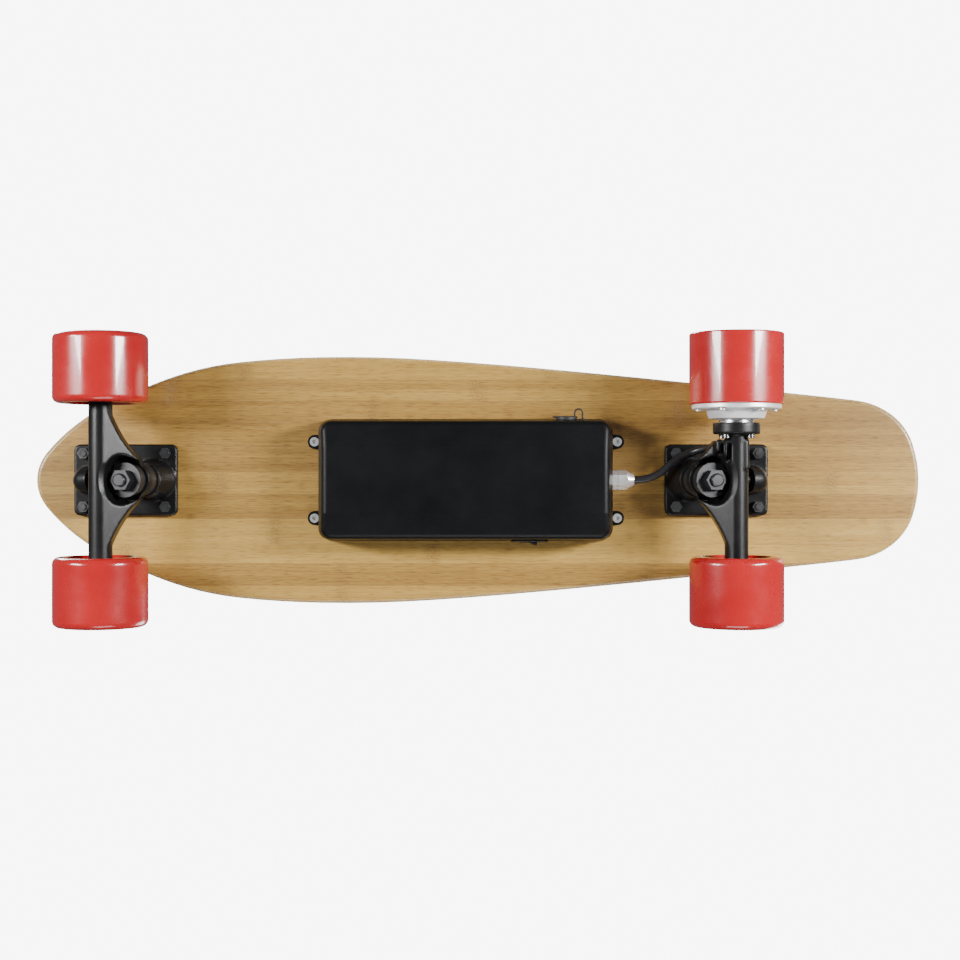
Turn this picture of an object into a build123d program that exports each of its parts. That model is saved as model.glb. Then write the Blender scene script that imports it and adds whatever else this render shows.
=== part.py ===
from build123d import *
"""Electric cruiser skateboard: bamboo deck, two leaning trucks, three idle wheels and one hub-motor wheel.

Frame, in millimetres: the origin is on the ground under the middle of the deck, +X runs towards the tail,
+Z is up. The nose is at -X and the motor wheel is on the -Y side of the rear truck.
"""

import os
from math import atan2, cos, hypot, pi, radians, sin, sqrt

os.makedirs("parts", exist_ok=True)

# ---------------------------------------------------------------- overall sizes
wheel_radius = 35.0
truck_height = 55.0  # axle centre to the underside of the deck
deck_under = wheel_radius + truck_height
front_axle_x = -280.5
rear_axle_x = 192.5
running_gap = 0.1  # radial gap of a part that turns in another
fit_gap = 0.25  # gap between parts of two bodies that face each other


def write(piece, name):
    """Labels a finished piece and writes it as its own STEP file."""
    piece.label = name
    export_step(piece, f"parts/{name}.step")


def group(*pieces):
    """Several like pieces that share one node."""
    return Compound(children=[solid for piece in pieces for solid in piece.solids()])


# ---------------------------------------------------------------- deck
deck_length = 688.0
deck_half_width = 96.0
deck_thickness = 10.0
deck_top = deck_under + deck_thickness
deck_top_round = 2.5
deck_under_round = 3.5
# Stations along the side, nose to tail: distance from the nose, half width, heading in degrees.
side_stations = (
    (0.0, 0.0, 90.0),
    (24.2, 38.3, 41.0),
    (96.9, 77.4, 21.0),
    (222.0, deck_half_width, 1.0),
    (394.0, 87.2, -5.2),
    (610.0, 65.6, -6.0),
    (667.0, 51.2, -37.0),
    (deck_length, 0.0, -90.0),
)


def two_arcs(start, heading, end, end_heading):
    """Joins two points by a pair of arcs that keep both headings and meet smoothly."""
    chord, headings = end - start, heading + end_heading
    a = 2 * (1 - heading.dot(end_heading))
    b = 2 * chord.dot(headings)
    reach = (sqrt(b * b + 4 * a * chord.dot(chord)) - b) / (2 * a)
    first = TangentArc(start, (start + heading * reach + end - end_heading * reach) / 2, tangent=heading)
    TangentArc(first @ 1, end, tangent=first % 1)


def deck_outline():
    """The deck's plan line: a pointed nose, a wide front and a narrower round tail."""
    points = [Vector(x - deck_length / 2, y) for x, y, angle in side_stations]
    headings = [Vector(cos(radians(angle)), sin(radians(angle))) for x, y, angle in side_stations]
    for start, heading, end, end_heading in zip(points, headings, points[1:], headings[1:]):
        two_arcs(start, heading, end, end_heading)
    mirror(about=Plane.XZ)


# Truck mounting holes, in the truck's own frame: origin on the deck's underside over the axle, +X inboard.
plate_length = 80.0
plate_width = 55.5
plate_thickness = 6.0
plate_centre_x = 7.5
hole_spacing_x = 63.5
hole_spacing_y = 41.3
mount_bolt_radius = 2.5
mount_hole_radius = 2.75
mount_head_radius = 4.8
mount_holes = [
    (plate_centre_x + i * hole_spacing_x / 2, j * hole_spacing_y / 2) for i in (-1, 1) for j in (-1, 1)
]

front_truck = Location((front_axle_x, 0, deck_under))
rear_truck = Location((rear_axle_x, 0, deck_under), (0, 0, 180))
trucks = {"front": front_truck, "rear": rear_truck}

# Enclosure screws, on the deck.
case_centre_x = -9.2
case_screw_x = 117.0
case_screw_y = 29.5
case_screw_radius = 2.0
insert_radius = 3.2
insert_depth = 8.0
case_screw_places = [(case_centre_x + i * case_screw_x, j * case_screw_y) for i in (-1, 1) for j in (-1, 1)]

with BuildPart() as deck:
    with BuildSketch(Plane.XY.offset(deck_under)):
        with BuildLine():
            deck_outline()
        make_face()
    extrude(amount=deck_thickness)
    fillet(deck.faces().sort_by(Axis.Z)[-1].edges(), deck_top_round)
    fillet(deck.faces().sort_by(Axis.Z)[0].edges(), deck_under_round)
    for axle_x, inboard in ((front_axle_x, 1), (rear_axle_x, -1)):
        with Locations(*[(axle_x + inboard * x, y, deck_top) for x, y in mount_holes]):
            CounterSinkHole(mount_bolt_radius, mount_head_radius)
    with BuildSketch(Plane.XY.offset(deck_under)):
        with Locations(*case_screw_places):
            Circle(insert_radius)
    extrude(amount=insert_depth, mode=Mode.SUBTRACT)
write(deck.part, "deck")

grip_thickness = 1.2
grip_inset = 3.5
with BuildPart() as grip_tape:
    with BuildSketch(Plane.XY.offset(deck_top)):
        with BuildLine():
            deck_outline()
        make_face()
        offset(amount=-grip_inset)
    extrude(amount=grip_thickness)
write(grip_tape.part, "grip_tape")

# ---------------------------------------------------------------- truck: shared geometry, truck frame
kingpin_lean = 15.0  # degrees; the nut end leans outboard, towards the axle
ring_x = 20.8  # centre of the hanger's ring, where the steering axis crosses the kingpin
ring_depth = 36.0
ring_radius = 14.0
ring_thickness = 7.0
pivot_x = -20.0  # centre of the pivot ball
pivot_depth = 15.0
kingpin_radius = 4.75
lean, lean_sin, lean_cos = radians(kingpin_lean), sin(radians(kingpin_lean)), cos(radians(kingpin_lean))
# The kingpin's own frame: origin at the ring's centre, +Z towards the nut.
kingpin_axis = Plane(
    origin=(ring_x, 0, -ring_depth), x_dir=(lean_cos, 0, -lean_sin), z_dir=(-lean_sin, 0, -lean_cos)
)
steer_run = ring_x - pivot_x
steer_rise = ring_depth - pivot_depth
steer_length = hypot(steer_run, steer_rise)
# The steering axis' frame: origin at the pivot ball, +Z outboard and up.
steer_axis = Plane(
    origin=(pivot_x, 0, -pivot_depth),
    x_dir=(0, 1, 0),
    z_dir=(-steer_run / steer_length, 0, steer_rise / steer_length),
)

# ---------------------------------------------------------------- kingpin stack, from the deck outwards
base_bushing_height = 12.75
outer_bushing_height = 10.0
bushing_radius = 12.0
outer_bushing_tip = 10.0
cup_thickness = 1.2
cup_radius = 13.0
cup_rim = 1.6
cup_swing = 1.5  # room in the hanger round the outer cup washer as the truck leans
kingpin_head_height = 5.0
kingpin_head_flats = 14.3
kingpin_nut_height = 7.5
kingpin_end = 2.5  # thread showing past the nut
boss_wall = 10.5  # casting between the kingpin's head and the base cup
base_bushing_end = -ring_thickness / 2 - fit_gap
base_bushing_start = base_bushing_end - base_bushing_height
boss_face = base_bushing_start - cup_thickness
head_seat = boss_face - boss_wall
outer_bushing_start = ring_thickness / 2 + fit_gap
outer_bushing_end = outer_bushing_start + outer_bushing_height
nut_seat = outer_bushing_end + cup_thickness
kingpin_tip = nut_seat + kingpin_nut_height + kingpin_end

with BuildPart() as kingpin:
    with BuildSketch(kingpin_axis.offset(head_seat)):
        RegularPolygon(kingpin_head_flats / 2, 6, major_radius=False)
    extrude(amount=-kingpin_head_height)
    with BuildSketch(kingpin_axis.offset(head_seat)):
        Circle(kingpin_radius)
    extrude(amount=kingpin_tip - head_seat)
    chamfer(kingpin.edges().group_by(Axis.Z)[0], 0.8)

with BuildPart() as kingpin_nut:
    with BuildSketch(kingpin_axis.offset(nut_seat)):
        RegularPolygon(kingpin_head_flats / 2, 6, major_radius=False)
        Circle(kingpin_radius, mode=Mode.SUBTRACT)
    extrude(amount=kingpin_nut_height)

with BuildPart() as base_bushing:
    with BuildSketch(kingpin_axis.offset(base_bushing_start)):
        Circle(bushing_radius)
        Circle(kingpin_radius + running_gap, mode=Mode.SUBTRACT)
    extrude(amount=base_bushing_height)
    fillet(base_bushing.edges().filter_by(GeomType.CIRCLE).sort_by(SortBy.RADIUS)[-2:], 1.0)

with BuildPart() as outer_bushing:
    with BuildSketch(kingpin_axis.offset(outer_bushing_start)):
        Circle(bushing_radius)
    with BuildSketch(kingpin_axis.offset(outer_bushing_end)):
        Circle(outer_bushing_tip)
    loft()
    with BuildSketch(kingpin_axis.offset(outer_bushing_start)):
        Circle(kingpin_radius + running_gap)
    extrude(amount=outer_bushing_height, mode=Mode.SUBTRACT)


def cup_washer(seat, way, inner_face_radius):
    """A pressed cup washer: a disc on the kingpin whose rim turns over the bushing."""
    with BuildPart() as cup:
        with BuildSketch(kingpin_axis.offset(seat)):
            Circle(cup_radius)
            Circle(kingpin_radius, mode=Mode.SUBTRACT)
        extrude(amount=-way * cup_thickness)
        with BuildSketch(kingpin_axis.offset(seat)):
            Circle(cup_radius)
            Circle(inner_face_radius + fit_gap, mode=Mode.SUBTRACT)
        extrude(amount=way * cup_rim)
    return cup.part


cup_washers = (
    cup_washer(base_bushing_start, 1, bushing_radius),
    cup_washer(outer_bushing_end, -1, outer_bushing_tip + 0.5),
)

# ---------------------------------------------------------------- baseplate and pivot cup
boss_top_radius = 13.0
boss_foot_radius = 17.0
pivot_pin_radius = 6.0
pivot_cup_wall = 2.6
pivot_boss_wall = 1.8
pivot_mouth = 7.0  # from the pivot ball's centre to the boss' open end
pivot_cup_bore = pivot_pin_radius + running_gap
pivot_cup_radius = pivot_cup_bore + pivot_cup_wall
pivot_boss_radius = pivot_cup_radius + pivot_boss_wall
plate_corner = 5.0
head_pocket_radius = 8.7


def pivot_barrel(radius, reach=pivot_mouth):
    """A round-ended bar on the steering axis, from the pivot ball's centre towards the ring."""
    with BuildPart() as barrel:
        with BuildSketch(Plane(origin=steer_axis.origin, x_dir=steer_axis.x_dir, z_dir=steer_axis.y_dir * -1)):
            with BuildLine():
                CenterArc((0, 0), radius, 0, 90)
                Polyline((0, radius), (0, -reach), (radius, -reach), (radius, 0))
            make_face()
        revolve(axis=Axis(steer_axis.origin, steer_axis.z_dir))
    return barrel.part


with BuildPart() as baseplate:
    with BuildSketch():
        with Locations((plate_centre_x, 0)):
            RectangleRounded(plate_length, plate_width, plate_corner)
    extrude(amount=-plate_thickness)
    fillet(baseplate.faces().sort_by(Axis.Z)[0].outer_wire().edges(), 1.5)
    # Kingpin boss, a cone that is trimmed at the deck.
    with BuildSketch(kingpin_axis.offset(boss_face)):
        Circle(boss_top_radius)
    with BuildSketch(kingpin_axis.offset(-ring_depth)):
        Circle(boss_foot_radius)
    loft()
    # Pivot boss: a round-ended barrel on a post.
    add(pivot_barrel(pivot_boss_radius))
    with Locations((pivot_x, 0, 0)):
        Cylinder(pivot_boss_radius - 0.5, pivot_depth, align=(Align.CENTER, Align.CENTER, Align.MAX))
    with Locations((plate_centre_x, 0, 0)):
        Box(
            2 * plate_length,
            2 * plate_width,
            truck_height,
            align=(Align.CENTER, Align.CENTER, Align.MIN),
            mode=Mode.SUBTRACT,
        )
    # Cup pocket, kingpin hole and head pocket, mounting holes.
    add(pivot_barrel(pivot_cup_radius, 2 * pivot_mouth), mode=Mode.SUBTRACT)
    with BuildSketch(kingpin_axis.offset(head_seat)):
        Circle(head_pocket_radius)
    extrude(amount=-ring_depth, mode=Mode.SUBTRACT)
    with BuildSketch(kingpin_axis.offset(head_seat)):
        Circle(kingpin_radius)
    extrude(amount=ring_depth, mode=Mode.SUBTRACT)
    with BuildSketch():
        with Locations(*mount_holes):
            Circle(mount_hole_radius)
    extrude(amount=-plate_thickness, mode=Mode.SUBTRACT)

with BuildPart() as pivot_cup:
    add(pivot_barrel(pivot_cup_radius))
    add(pivot_barrel(pivot_cup_bore), mode=Mode.SUBTRACT)

# ---------------------------------------------------------------- mounting bolts and lock nuts
mount_nut_flats = 8.0
mount_nut_height = 5.0
bolt_past_nut = 1.5
bolt_length = deck_thickness + plate_thickness + mount_nut_height + bolt_past_nut

with BuildPart() as mount_bolts:
    with Locations(*[(x, y, deck_thickness) for x, y in mount_holes]):
        Cylinder(mount_bolt_radius, bolt_length, align=(Align.CENTER, Align.CENTER, Align.MAX))
        Cone(
            mount_bolt_radius,
            mount_head_radius,
            mount_head_radius - mount_bolt_radius,
            align=(Align.CENTER, Align.CENTER, Align.MAX),
        )

with BuildPart() as mount_nuts:
    with BuildSketch(Plane.XY.offset(-plate_thickness)):
        with Locations(*mount_holes):
            RegularPolygon(mount_nut_flats / 2, 6, major_radius=False)
            Circle(mount_bolt_radius, mode=Mode.SUBTRACT)
    extrude(amount=-mount_nut_height)

# ---------------------------------------------------------------- axle line: sizes from the centreline outwards
axle_radius = 4.0
wheel_width = 52.0
wheel_offset = 83.0  # wheel centre to the board's centreline
bearing_width = 7.0
spacer_length = 10.0
axle_washer_thickness = 1.0
axle_washer_radius = 5.8
axle_nut_height = 6.7
axle_nut_flats = 12.7
inner_bearing_face = wheel_offset - spacer_length / 2 - bearing_width
outer_bearing_face = wheel_offset + spacer_length / 2 + bearing_width
hanger_half = inner_bearing_face - axle_washer_thickness
axle_half = outer_bearing_face + axle_washer_thickness + axle_nut_height + 1.0
hanger_tube_radius = 8.8
axle_line = Plane(origin=(0, 0, -truck_height), x_dir=(1, 0, 0), z_dir=(0, 1, 0))  # +Z along +Y

# ---------------------------------------------------------------- hangers
arm_reach = 60.0  # where the arms have faded into the tube
flange_radius = 17.5
flange_inner = 34.0  # the motor flange's faces, from the centreline
flange_outer = 42.5
flange_recess = 3.5
shaft_foot_radius = 15.8
flange_neck_radius = 9.0
motor_arm_end = 29.5
motor_arm_inboard = 16.7
motor_arm_outboard = 8.7
motor_arm_top = 46.0
wire_bore_radius = 4.0
wire_way_start = 23.0
grommet_radius = 3.2
grommet_seat_radius = 5.2
grommet_way = 17.0  # from the grommet's seat down to the wire way in the axle line
cable_entry = Vector(-0.55, 0.1, -0.83).normalized()  # the way the motor cable runs in, truck frame
grommet_axis = Plane(origin=(9.9, 25.8, -39.5), x_dir=(0.1, 0.55, 0), z_dir=cable_entry * -1)


def arm_block():
    """The gusset that joins the tube to the ring, where three outlines cross."""
    with BuildPart() as block:
        with BuildSketch(Plane.XZ):
            with BuildLine():
                Polyline(
                    (0, -46.5), (10, -36), (20, -31.8), (35.2, -36.2), (33.4, -43), (3, -63.5), (0, -63.8), close=True
                )
            make_face()
        extrude(amount=arm_reach, both=True)
        with BuildSketch():
            with BuildLine():
                side = Spline((4, arm_reach), (10.4, 41), (18, 26.4), (27.5, 14.4))
                Line(side @ 1, (27.5, 0))
                Polyline(side @ 0, (0, arm_reach), (0, 0))
                mirror(about=Plane.XZ)
            make_face()
        extrude(amount=-2 * truck_height, mode=Mode.INTERSECT)
        with BuildSketch(Plane.YZ):
            with BuildLine():
                Polyline((0, -20), (14, -29), (22, -37.5), (50, -47), (arm_reach, -48), (arm_reach, -64), (0, -64))
                mirror(about=Plane.YZ)
            make_face()
        extrude(amount=truck_height, both=True, mode=Mode.INTERSECT)
    return block.part


def hanger_casting(motor_side):
    """A cast hanger: axle tube, arms, ring and pivot pin, with a bowl round the kingpin nut."""
    with BuildPart() as casting:
        tube_end = motor_arm_end if motor_side else hanger_half
        with BuildSketch(axle_line.offset(-hanger_half)):
            Circle(hanger_tube_radius)
        extrude(amount=hanger_half + tube_end)
        add(arm_block())
        with BuildSketch(kingpin_axis.offset(-ring_thickness / 2)):
            Circle(ring_radius)
        extrude(amount=ring_thickness)
        # Web and pivot pin.
        with BuildSketch(Plane.XZ):
            with BuildLine():
                Polyline((-6, -50), (-8, -25), (8, -30), (14, -40), (5, -54), close=True)
            make_face()
        extrude(amount=7, both=True)
        add(pivot_barrel(pivot_pin_radius, 33))
        if motor_side:
            # The motor arm is a wide block that ends in a round flange.
            with Locations((0, motor_arm_end, -truck_height)):
                Box(
                    truck_height,
                    arm_reach,
                    truck_height,
                    align=(Align.CENTER, Align.MIN, Align.CENTER),
                    mode=Mode.SUBTRACT,
                )
            with BuildSketch(Plane.XZ.offset(-motor_arm_end)):
                with Locations(((motor_arm_inboard - motor_arm_outboard) / 2, -(motor_arm_top + 63.0) / 2)):
                    RectangleRounded(motor_arm_inboard + motor_arm_outboard, 63.0 - motor_arm_top, 3)
            extrude(amount=motor_arm_end - 8)
            with BuildSketch(axle_line.offset(motor_arm_end)):
                Circle(flange_neck_radius)
            extrude(amount=flange_inner - motor_arm_end)
            with BuildSketch(axle_line.offset(flange_inner)):
                Circle(flange_radius)
            extrude(amount=flange_outer - flange_inner)
        # The bowl, in three sections from the ring's face to the rim.
        with BuildSketch(kingpin_axis.offset(ring_thickness / 2)):
            Circle(ring_radius - 0.6)
        with BuildSketch(kingpin_axis.offset(28)):
            with Locations((3.3, 0)):
                Ellipse(13, 22)
        with BuildSketch(kingpin_axis.offset(36)):
            Ellipse(15.5, 26)
        loft(ruled=True, mode=Mode.SUBTRACT)
        # Room for the bushings and for the cup washers as the hanger leans, and the kingpin's hole.
        with BuildSketch(kingpin_axis.offset(-ring_thickness / 2)):
            Circle(bushing_radius + 1.2)
        extrude(amount=-16, mode=Mode.SUBTRACT)
        with BuildSketch(kingpin_axis.offset(-9)):
            Circle(cup_radius + 4)
        extrude(amount=-18, mode=Mode.SUBTRACT)
        with BuildSketch(kingpin_axis.offset(ring_thickness)):
            Ellipse(cup_radius + cup_swing, cup_radius + 3 * cup_swing)
        extrude(amount=nut_seat + cup_swing - ring_thickness, mode=Mode.SUBTRACT)
        with BuildSketch(kingpin_axis.offset(-ring_thickness)):
            Circle(kingpin_radius + 1.9)
        extrude(amount=2 * ring_thickness, mode=Mode.SUBTRACT)
        if motor_side:
            # Open channels in the motor arm, the recess for the shaft's foot, and the wire way.
            for channel_x in (6.6, 12.4):
                with BuildSketch(Plane.XY.offset(-64)):
                    with Locations((channel_x, 20)):
                        RectangleRounded(3.2, 15, 1.2)
                extrude(amount=8, mode=Mode.SUBTRACT)
            with BuildSketch(axle_line.offset(flange_outer)):
                Circle(shaft_foot_radius)
            extrude(amount=-flange_recess, mode=Mode.SUBTRACT)
            with BuildSketch(axle_line.offset(wire_way_start)):
                Circle(wire_bore_radius)
            extrude(amount=flange_outer - wire_way_start, mode=Mode.SUBTRACT)
            with BuildSketch(grommet_axis):
                Circle(grommet_seat_radius)
            extrude(amount=8, mode=Mode.SUBTRACT)
            with BuildSketch(grommet_axis):
                Circle(grommet_radius)
            extrude(amount=-grommet_way, mode=Mode.SUBTRACT)
            with BuildSketch(axle_line.offset(flange_inner)):
                with PolarLocations(flange_bolt_circle, 4, start_angle=45):
                    Circle(flange_bolt_radius)
            extrude(amount=flange_outer - flange_inner, mode=Mode.SUBTRACT)
        # The axle is cast in.
        with BuildSketch(axle_line.offset(-hanger_half)):
            Circle(axle_radius)
        extrude(amount=hanger_half + axle_stop if motor_side else 2 * hanger_half, mode=Mode.SUBTRACT)
    return casting.part


flange_bolt_circle = 12.8
flange_bolt_radius = 1.5
flange_bolt_head_radius = 2.75
flange_bolt_head_height = 3.0
axle_stop = 14.0  # the rear axle ends inside the casting, short of the wire way

write(hanger_casting(False).moved(front_truck), "front_hanger")
write(hanger_casting(True).moved(rear_truck), "rear_hanger")

# ---------------------------------------------------------------- axles, washers, nuts and bearings
hub_front_left = Location((front_axle_x, 0, wheel_radius), (90, 0, 0))
hub_front_right = Location((front_axle_x, 0, wheel_radius), (-90, 0, 0))
hub_rear_right = Location((rear_axle_x, 0, wheel_radius), (-90, 0, 0))
hub_motor = Location((rear_axle_x, 0, wheel_radius), (90, 0, 0))

with BuildPart() as front_axle:
    with BuildSketch(axle_line.offset(-axle_half)):
        Circle(axle_radius)
    extrude(amount=2 * axle_half)
    chamfer(front_axle.edges().filter_by(GeomType.CIRCLE), 0.6)
write(front_axle.part.moved(front_truck), "front_axle")

with BuildPart() as rear_axle:
    with BuildSketch(axle_line.offset(-axle_half)):
        Circle(axle_radius)
    extrude(amount=axle_half + axle_stop)
    chamfer(rear_axle.edges().filter_by(GeomType.CIRCLE).sort_by(Axis.Y)[0], 0.6)
write(rear_axle.part.moved(rear_truck), "rear_axle")

# Hub frame from here on: +Z outwards along the axle, origin on the centreline.
with BuildPart() as axle_washers:
    for face in (hanger_half, outer_bearing_face):
        with BuildSketch(Plane.XY.offset(face)):
            Circle(axle_washer_radius)
            Circle(axle_radius, mode=Mode.SUBTRACT)
        extrude(amount=axle_washer_thickness)

with BuildPart() as axle_nut:
    with BuildSketch(Plane.XY.offset(outer_bearing_face + axle_washer_thickness)):
        RegularPolygon(axle_nut_flats / 2, 6, major_radius=False)
        Circle(axle_radius, mode=Mode.SUBTRACT)
    extrude(amount=axle_nut_height)

with BuildPart() as bearing_spacer:
    with BuildSketch(Plane.XY.offset(wheel_offset - spacer_length / 2)):
        Circle(5.5)
        Circle(axle_radius, mode=Mode.SUBTRACT)
    extrude(amount=spacer_length)


shield_recess = 0.3
shield_thickness = 0.5


def bearing(bore, outside, width, middle, balls):
    """A shielded ball bearing on the hub axis: its inner ring, its outer ring and its balls."""
    pitch = (bore + outside) / 2
    ball = 0.26 * (outside - bore)
    land = 0.2 * (outside - bore)

    def ring(from_radius, to_radius, shield_to=None):
        with BuildPart() as turned:
            with BuildSketch(Plane.XZ):
                with Locations(((from_radius + to_radius) / 2, middle)):
                    Rectangle(to_radius - from_radius, width)
                with Locations((pitch, middle)):
                    Circle(ball + running_gap, mode=Mode.SUBTRACT)
                if shield_to:
                    for way in (-1, 1):
                        shield_middle = middle + way * (width / 2 - shield_recess - shield_thickness / 2)
                        with Locations(((shield_to + from_radius) / 2, shield_middle)):
                            Rectangle(from_radius - shield_to, shield_thickness)
            revolve(axis=Axis.Z)
        return turned.part

    with BuildPart() as ball_set:
        with Locations((0, 0, middle)):
            with PolarLocations(pitch, balls):
                Sphere(ball)
    inner_land = pitch - land
    return ring(bore, inner_land), ring(pitch + land, outside, inner_land + fit_gap), ball_set.part


wheel_bearings = [
    bearing(axle_radius, 11.0, bearing_width, wheel_offset + way * (spacer_length + bearing_width) / 2, 7)
    for way in (-1, 1)
]
front_hubs = (hub_front_left, hub_front_right)
inner_pieces = [rings[0] for rings in wheel_bearings] + [bearing_spacer.part]
outer_pieces = [piece for rings in wheel_bearings for piece in rings[1:]]
axle_hardware = (axle_washers.part, axle_nut.part)
write(group(*[piece.moved(hub) for hub in front_hubs for piece in axle_hardware]), "front_axle_nuts")
write(group(*[piece.moved(hub) for hub in front_hubs for piece in inner_pieces]), "front_bearing_inner_rings")
write(group(*[piece.moved(hub_rear_right) for piece in axle_hardware]), "rear_axle_nut")

# ---------------------------------------------------------------- idle wheels
core_radius = 16.0
core_half = 15.0
bearing_radius = 11.0
shoulder_radius = 9.3
lip_radius = 5.0
face_ring = 27.0  # inner radius of the wheel's flat side face
dish_radius = 21.0
dish_depth = 9.0

with BuildPart() as wheel_tyre:
    with BuildSketch(Plane.XZ) as wheel_profile:
        with BuildLine():
            half = wheel_width / 2
            Polyline(
                (core_radius, wheel_offset),
                (core_radius, wheel_offset + core_half),
                (dish_radius, wheel_offset + half - dish_depth),
                (face_ring, wheel_offset + half),
                (wheel_radius, wheel_offset + half),
                (wheel_radius, wheel_offset),
            )
            mirror(about=Plane.XZ.offset(-wheel_offset))
        make_face()
        rim_corners = wheel_profile.vertices().group_by(Axis.X)[-1].sort_by(Axis.Y)
        fillet([rim_corners[0], rim_corners[-1]], lip_radius)
    revolve(axis=Axis.Z)

with BuildPart() as wheel_core:
    with BuildSketch(Plane.XY.offset(wheel_offset - core_half)):
        Circle(core_radius)
        Circle(shoulder_radius, mode=Mode.SUBTRACT)
    extrude(amount=2 * core_half)
    for way in (-1, 1):
        with BuildSketch(Plane.XY.offset(wheel_offset + way * core_half)):
            Circle(bearing_radius)
        extrude(amount=-way * (core_half - spacer_length / 2), mode=Mode.SUBTRACT)

idle_wheels = {"front_left": hub_front_left, "front_right": hub_front_right, "rear_right": hub_rear_right}
for name, hub in idle_wheels.items():
    write(wheel_tyre.part.moved(hub), f"{name}_tyre")
    write(wheel_core.part.moved(hub), f"{name}_wheel_core")
    write(group(*[piece.moved(hub) for piece in outer_pieces]), f"{name}_bearings")

# ---------------------------------------------------------------- hub motor, hub frame
tyre_inner_face = 56.0
motor_tyre_width = 53.0
motor_tyre_bore = 29.5
can_bore = 26.5
can_end = 104.0
magnet_bore = 24.0
stator_radius = 23.5
shaft_radius = 7.5
collar_radius = 13.0
collar_height = 1.8
stator_start = 64.0
stator_stack = 32.0
cover_disc_radius = 33.0
cover_disc_thickness = 3.4
cover_nose_height = 7.0
cover_nose_foot = 23.0
cover_nose_tip = 20.5
cover_lip_radius = 14.5
cover_bearing_radius = 12.0
cover_bearing_width = 5.0
cover_face = tyre_inner_face - cover_disc_thickness
nose_face = cover_face - cover_nose_height
end_bearing_middle = 100.5
shaft_end = 105.0
end_recess_radius = 7.5
end_recess_depth = 1.6
cover_screw_circle = 28.0
cover_screw_radius = 1.2
cover_screw_head = 2.6
outer_cover_thickness = 3.0
magnet_count = 14
tooth_count = 12

with BuildPart() as motor_shaft:
    collar_start = flange_outer
    steps = (
        (shaft_foot_radius, flange_outer - flange_recess, flange_outer),
        (collar_radius, collar_start, collar_start + collar_height),
        (shaft_radius, collar_start + collar_height, stator_start + stator_stack),
        (axle_radius, stator_start + stator_stack, shaft_end),
    )
    for radius, start, end in steps:
        with BuildSketch(Plane.XY.offset(start)):
            Circle(radius)
        extrude(amount=end - start)
    with BuildSketch(Plane.XY.offset(flange_outer - flange_recess)):
        Circle(wire_bore_radius)
    extrude(amount=stator_start - 2 - flange_outer + flange_recess, mode=Mode.SUBTRACT)
    with BuildSketch(Plane.XZ.offset(-shaft_radius)):
        with Locations((0, stator_start - 4)):
            Circle(1.8)
    extrude(amount=shaft_radius, mode=Mode.SUBTRACT)
    with BuildSketch(Plane.XY.offset(flange_outer - flange_recess)):
        with PolarLocations(flange_bolt_circle, 4, start_angle=45):
            Circle(flange_bolt_radius)
    extrude(amount=flange_recess, mode=Mode.SUBTRACT)
write(motor_shaft.part.moved(hub_motor), "motor_shaft")

with BuildPart() as flange_bolts:
    with BuildSketch(Plane.XY.offset(flange_inner)):
        with PolarLocations(flange_bolt_circle, 4, start_angle=45):
            Circle(flange_bolt_head_radius)
            RegularPolygon(1.3, 6, mode=Mode.SUBTRACT)
    extrude(amount=-flange_bolt_head_height)
    with BuildSketch(Plane.XY.offset(flange_inner - 1)):
        with PolarLocations(flange_bolt_circle, 4, start_angle=45):
            Circle(flange_bolt_radius)
    extrude(amount=flange_outer - flange_inner + 1)
write(flange_bolts.part.moved(hub_motor), "motor_flange_bolts")

tooth_width = 3.2
yoke_radius = 13.5
shoe_radius = 21.8
with BuildPart() as motor_stator:
    with BuildSketch(Plane.XY.offset(stator_start)):
        Circle(yoke_radius)
        with PolarLocations((stator_radius + yoke_radius) / 2 - 1, tooth_count):
            Rectangle(stator_radius - yoke_radius, tooth_width)
        with BuildSketch(mode=Mode.PRIVATE) as shoe:
            Circle(stator_radius)
            Circle(shoe_radius, mode=Mode.SUBTRACT)
            Rectangle(stator_radius, 8, align=(Align.MIN, Align.CENTER), mode=Mode.INTERSECT)
        with PolarLocations(0, tooth_count):
            add(shoe.sketch)
        Circle(shaft_radius, mode=Mode.SUBTRACT)
    extrude(amount=stator_stack)
write(motor_stator.part.moved(hub_motor), "motor_stator")

coil_overhang = 3.0
coil_build = 1.5
with BuildPart() as motor_windings:
    with BuildSketch(Plane.XY.offset(stator_start - coil_overhang)):
        with PolarLocations((yoke_radius + shoe_radius) / 2 + 0.4, tooth_count):
            Rectangle(shoe_radius - yoke_radius - 1.6, tooth_width + 2 * coil_build)
    extrude(amount=stator_stack + 2 * coil_overhang)
    with BuildSketch(Plane.XY.offset(stator_start)):
        with PolarLocations((yoke_radius + shoe_radius) / 2, tooth_count):
            Rectangle(shoe_radius - yoke_radius + 4, tooth_width)
    extrude(amount=stator_stack, mode=Mode.SUBTRACT)

with BuildPart() as motor_tyre:
    with BuildSketch(Plane.XY.offset(tyre_inner_face)):
        Circle(wheel_radius)
        Circle(motor_tyre_bore, mode=Mode.SUBTRACT)
    extrude(amount=motor_tyre_width)
    fillet(motor_tyre.edges().filter_by(GeomType.CIRCLE).sort_by(SortBy.RADIUS)[-2:], 1.2)
write(motor_tyre.part.moved(hub_motor), "motor_tyre")

with BuildPart() as motor_can:
    with BuildSketch(Plane.XY.offset(tyre_inner_face)):
        Circle(motor_tyre_bore)
        Circle(can_bore, mode=Mode.SUBTRACT)
    extrude(amount=can_end - tyre_inner_face)
    for start, way in ((tyre_inner_face, 1), (can_end, -1)):
        with BuildSketch(Plane.XY.offset(start)):
            with PolarLocations(cover_screw_circle, 6):
                Circle(cover_screw_radius)
        extrude(amount=way * 6, mode=Mode.SUBTRACT)
write(motor_can.part.moved(hub_motor), "motor_can")

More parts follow.
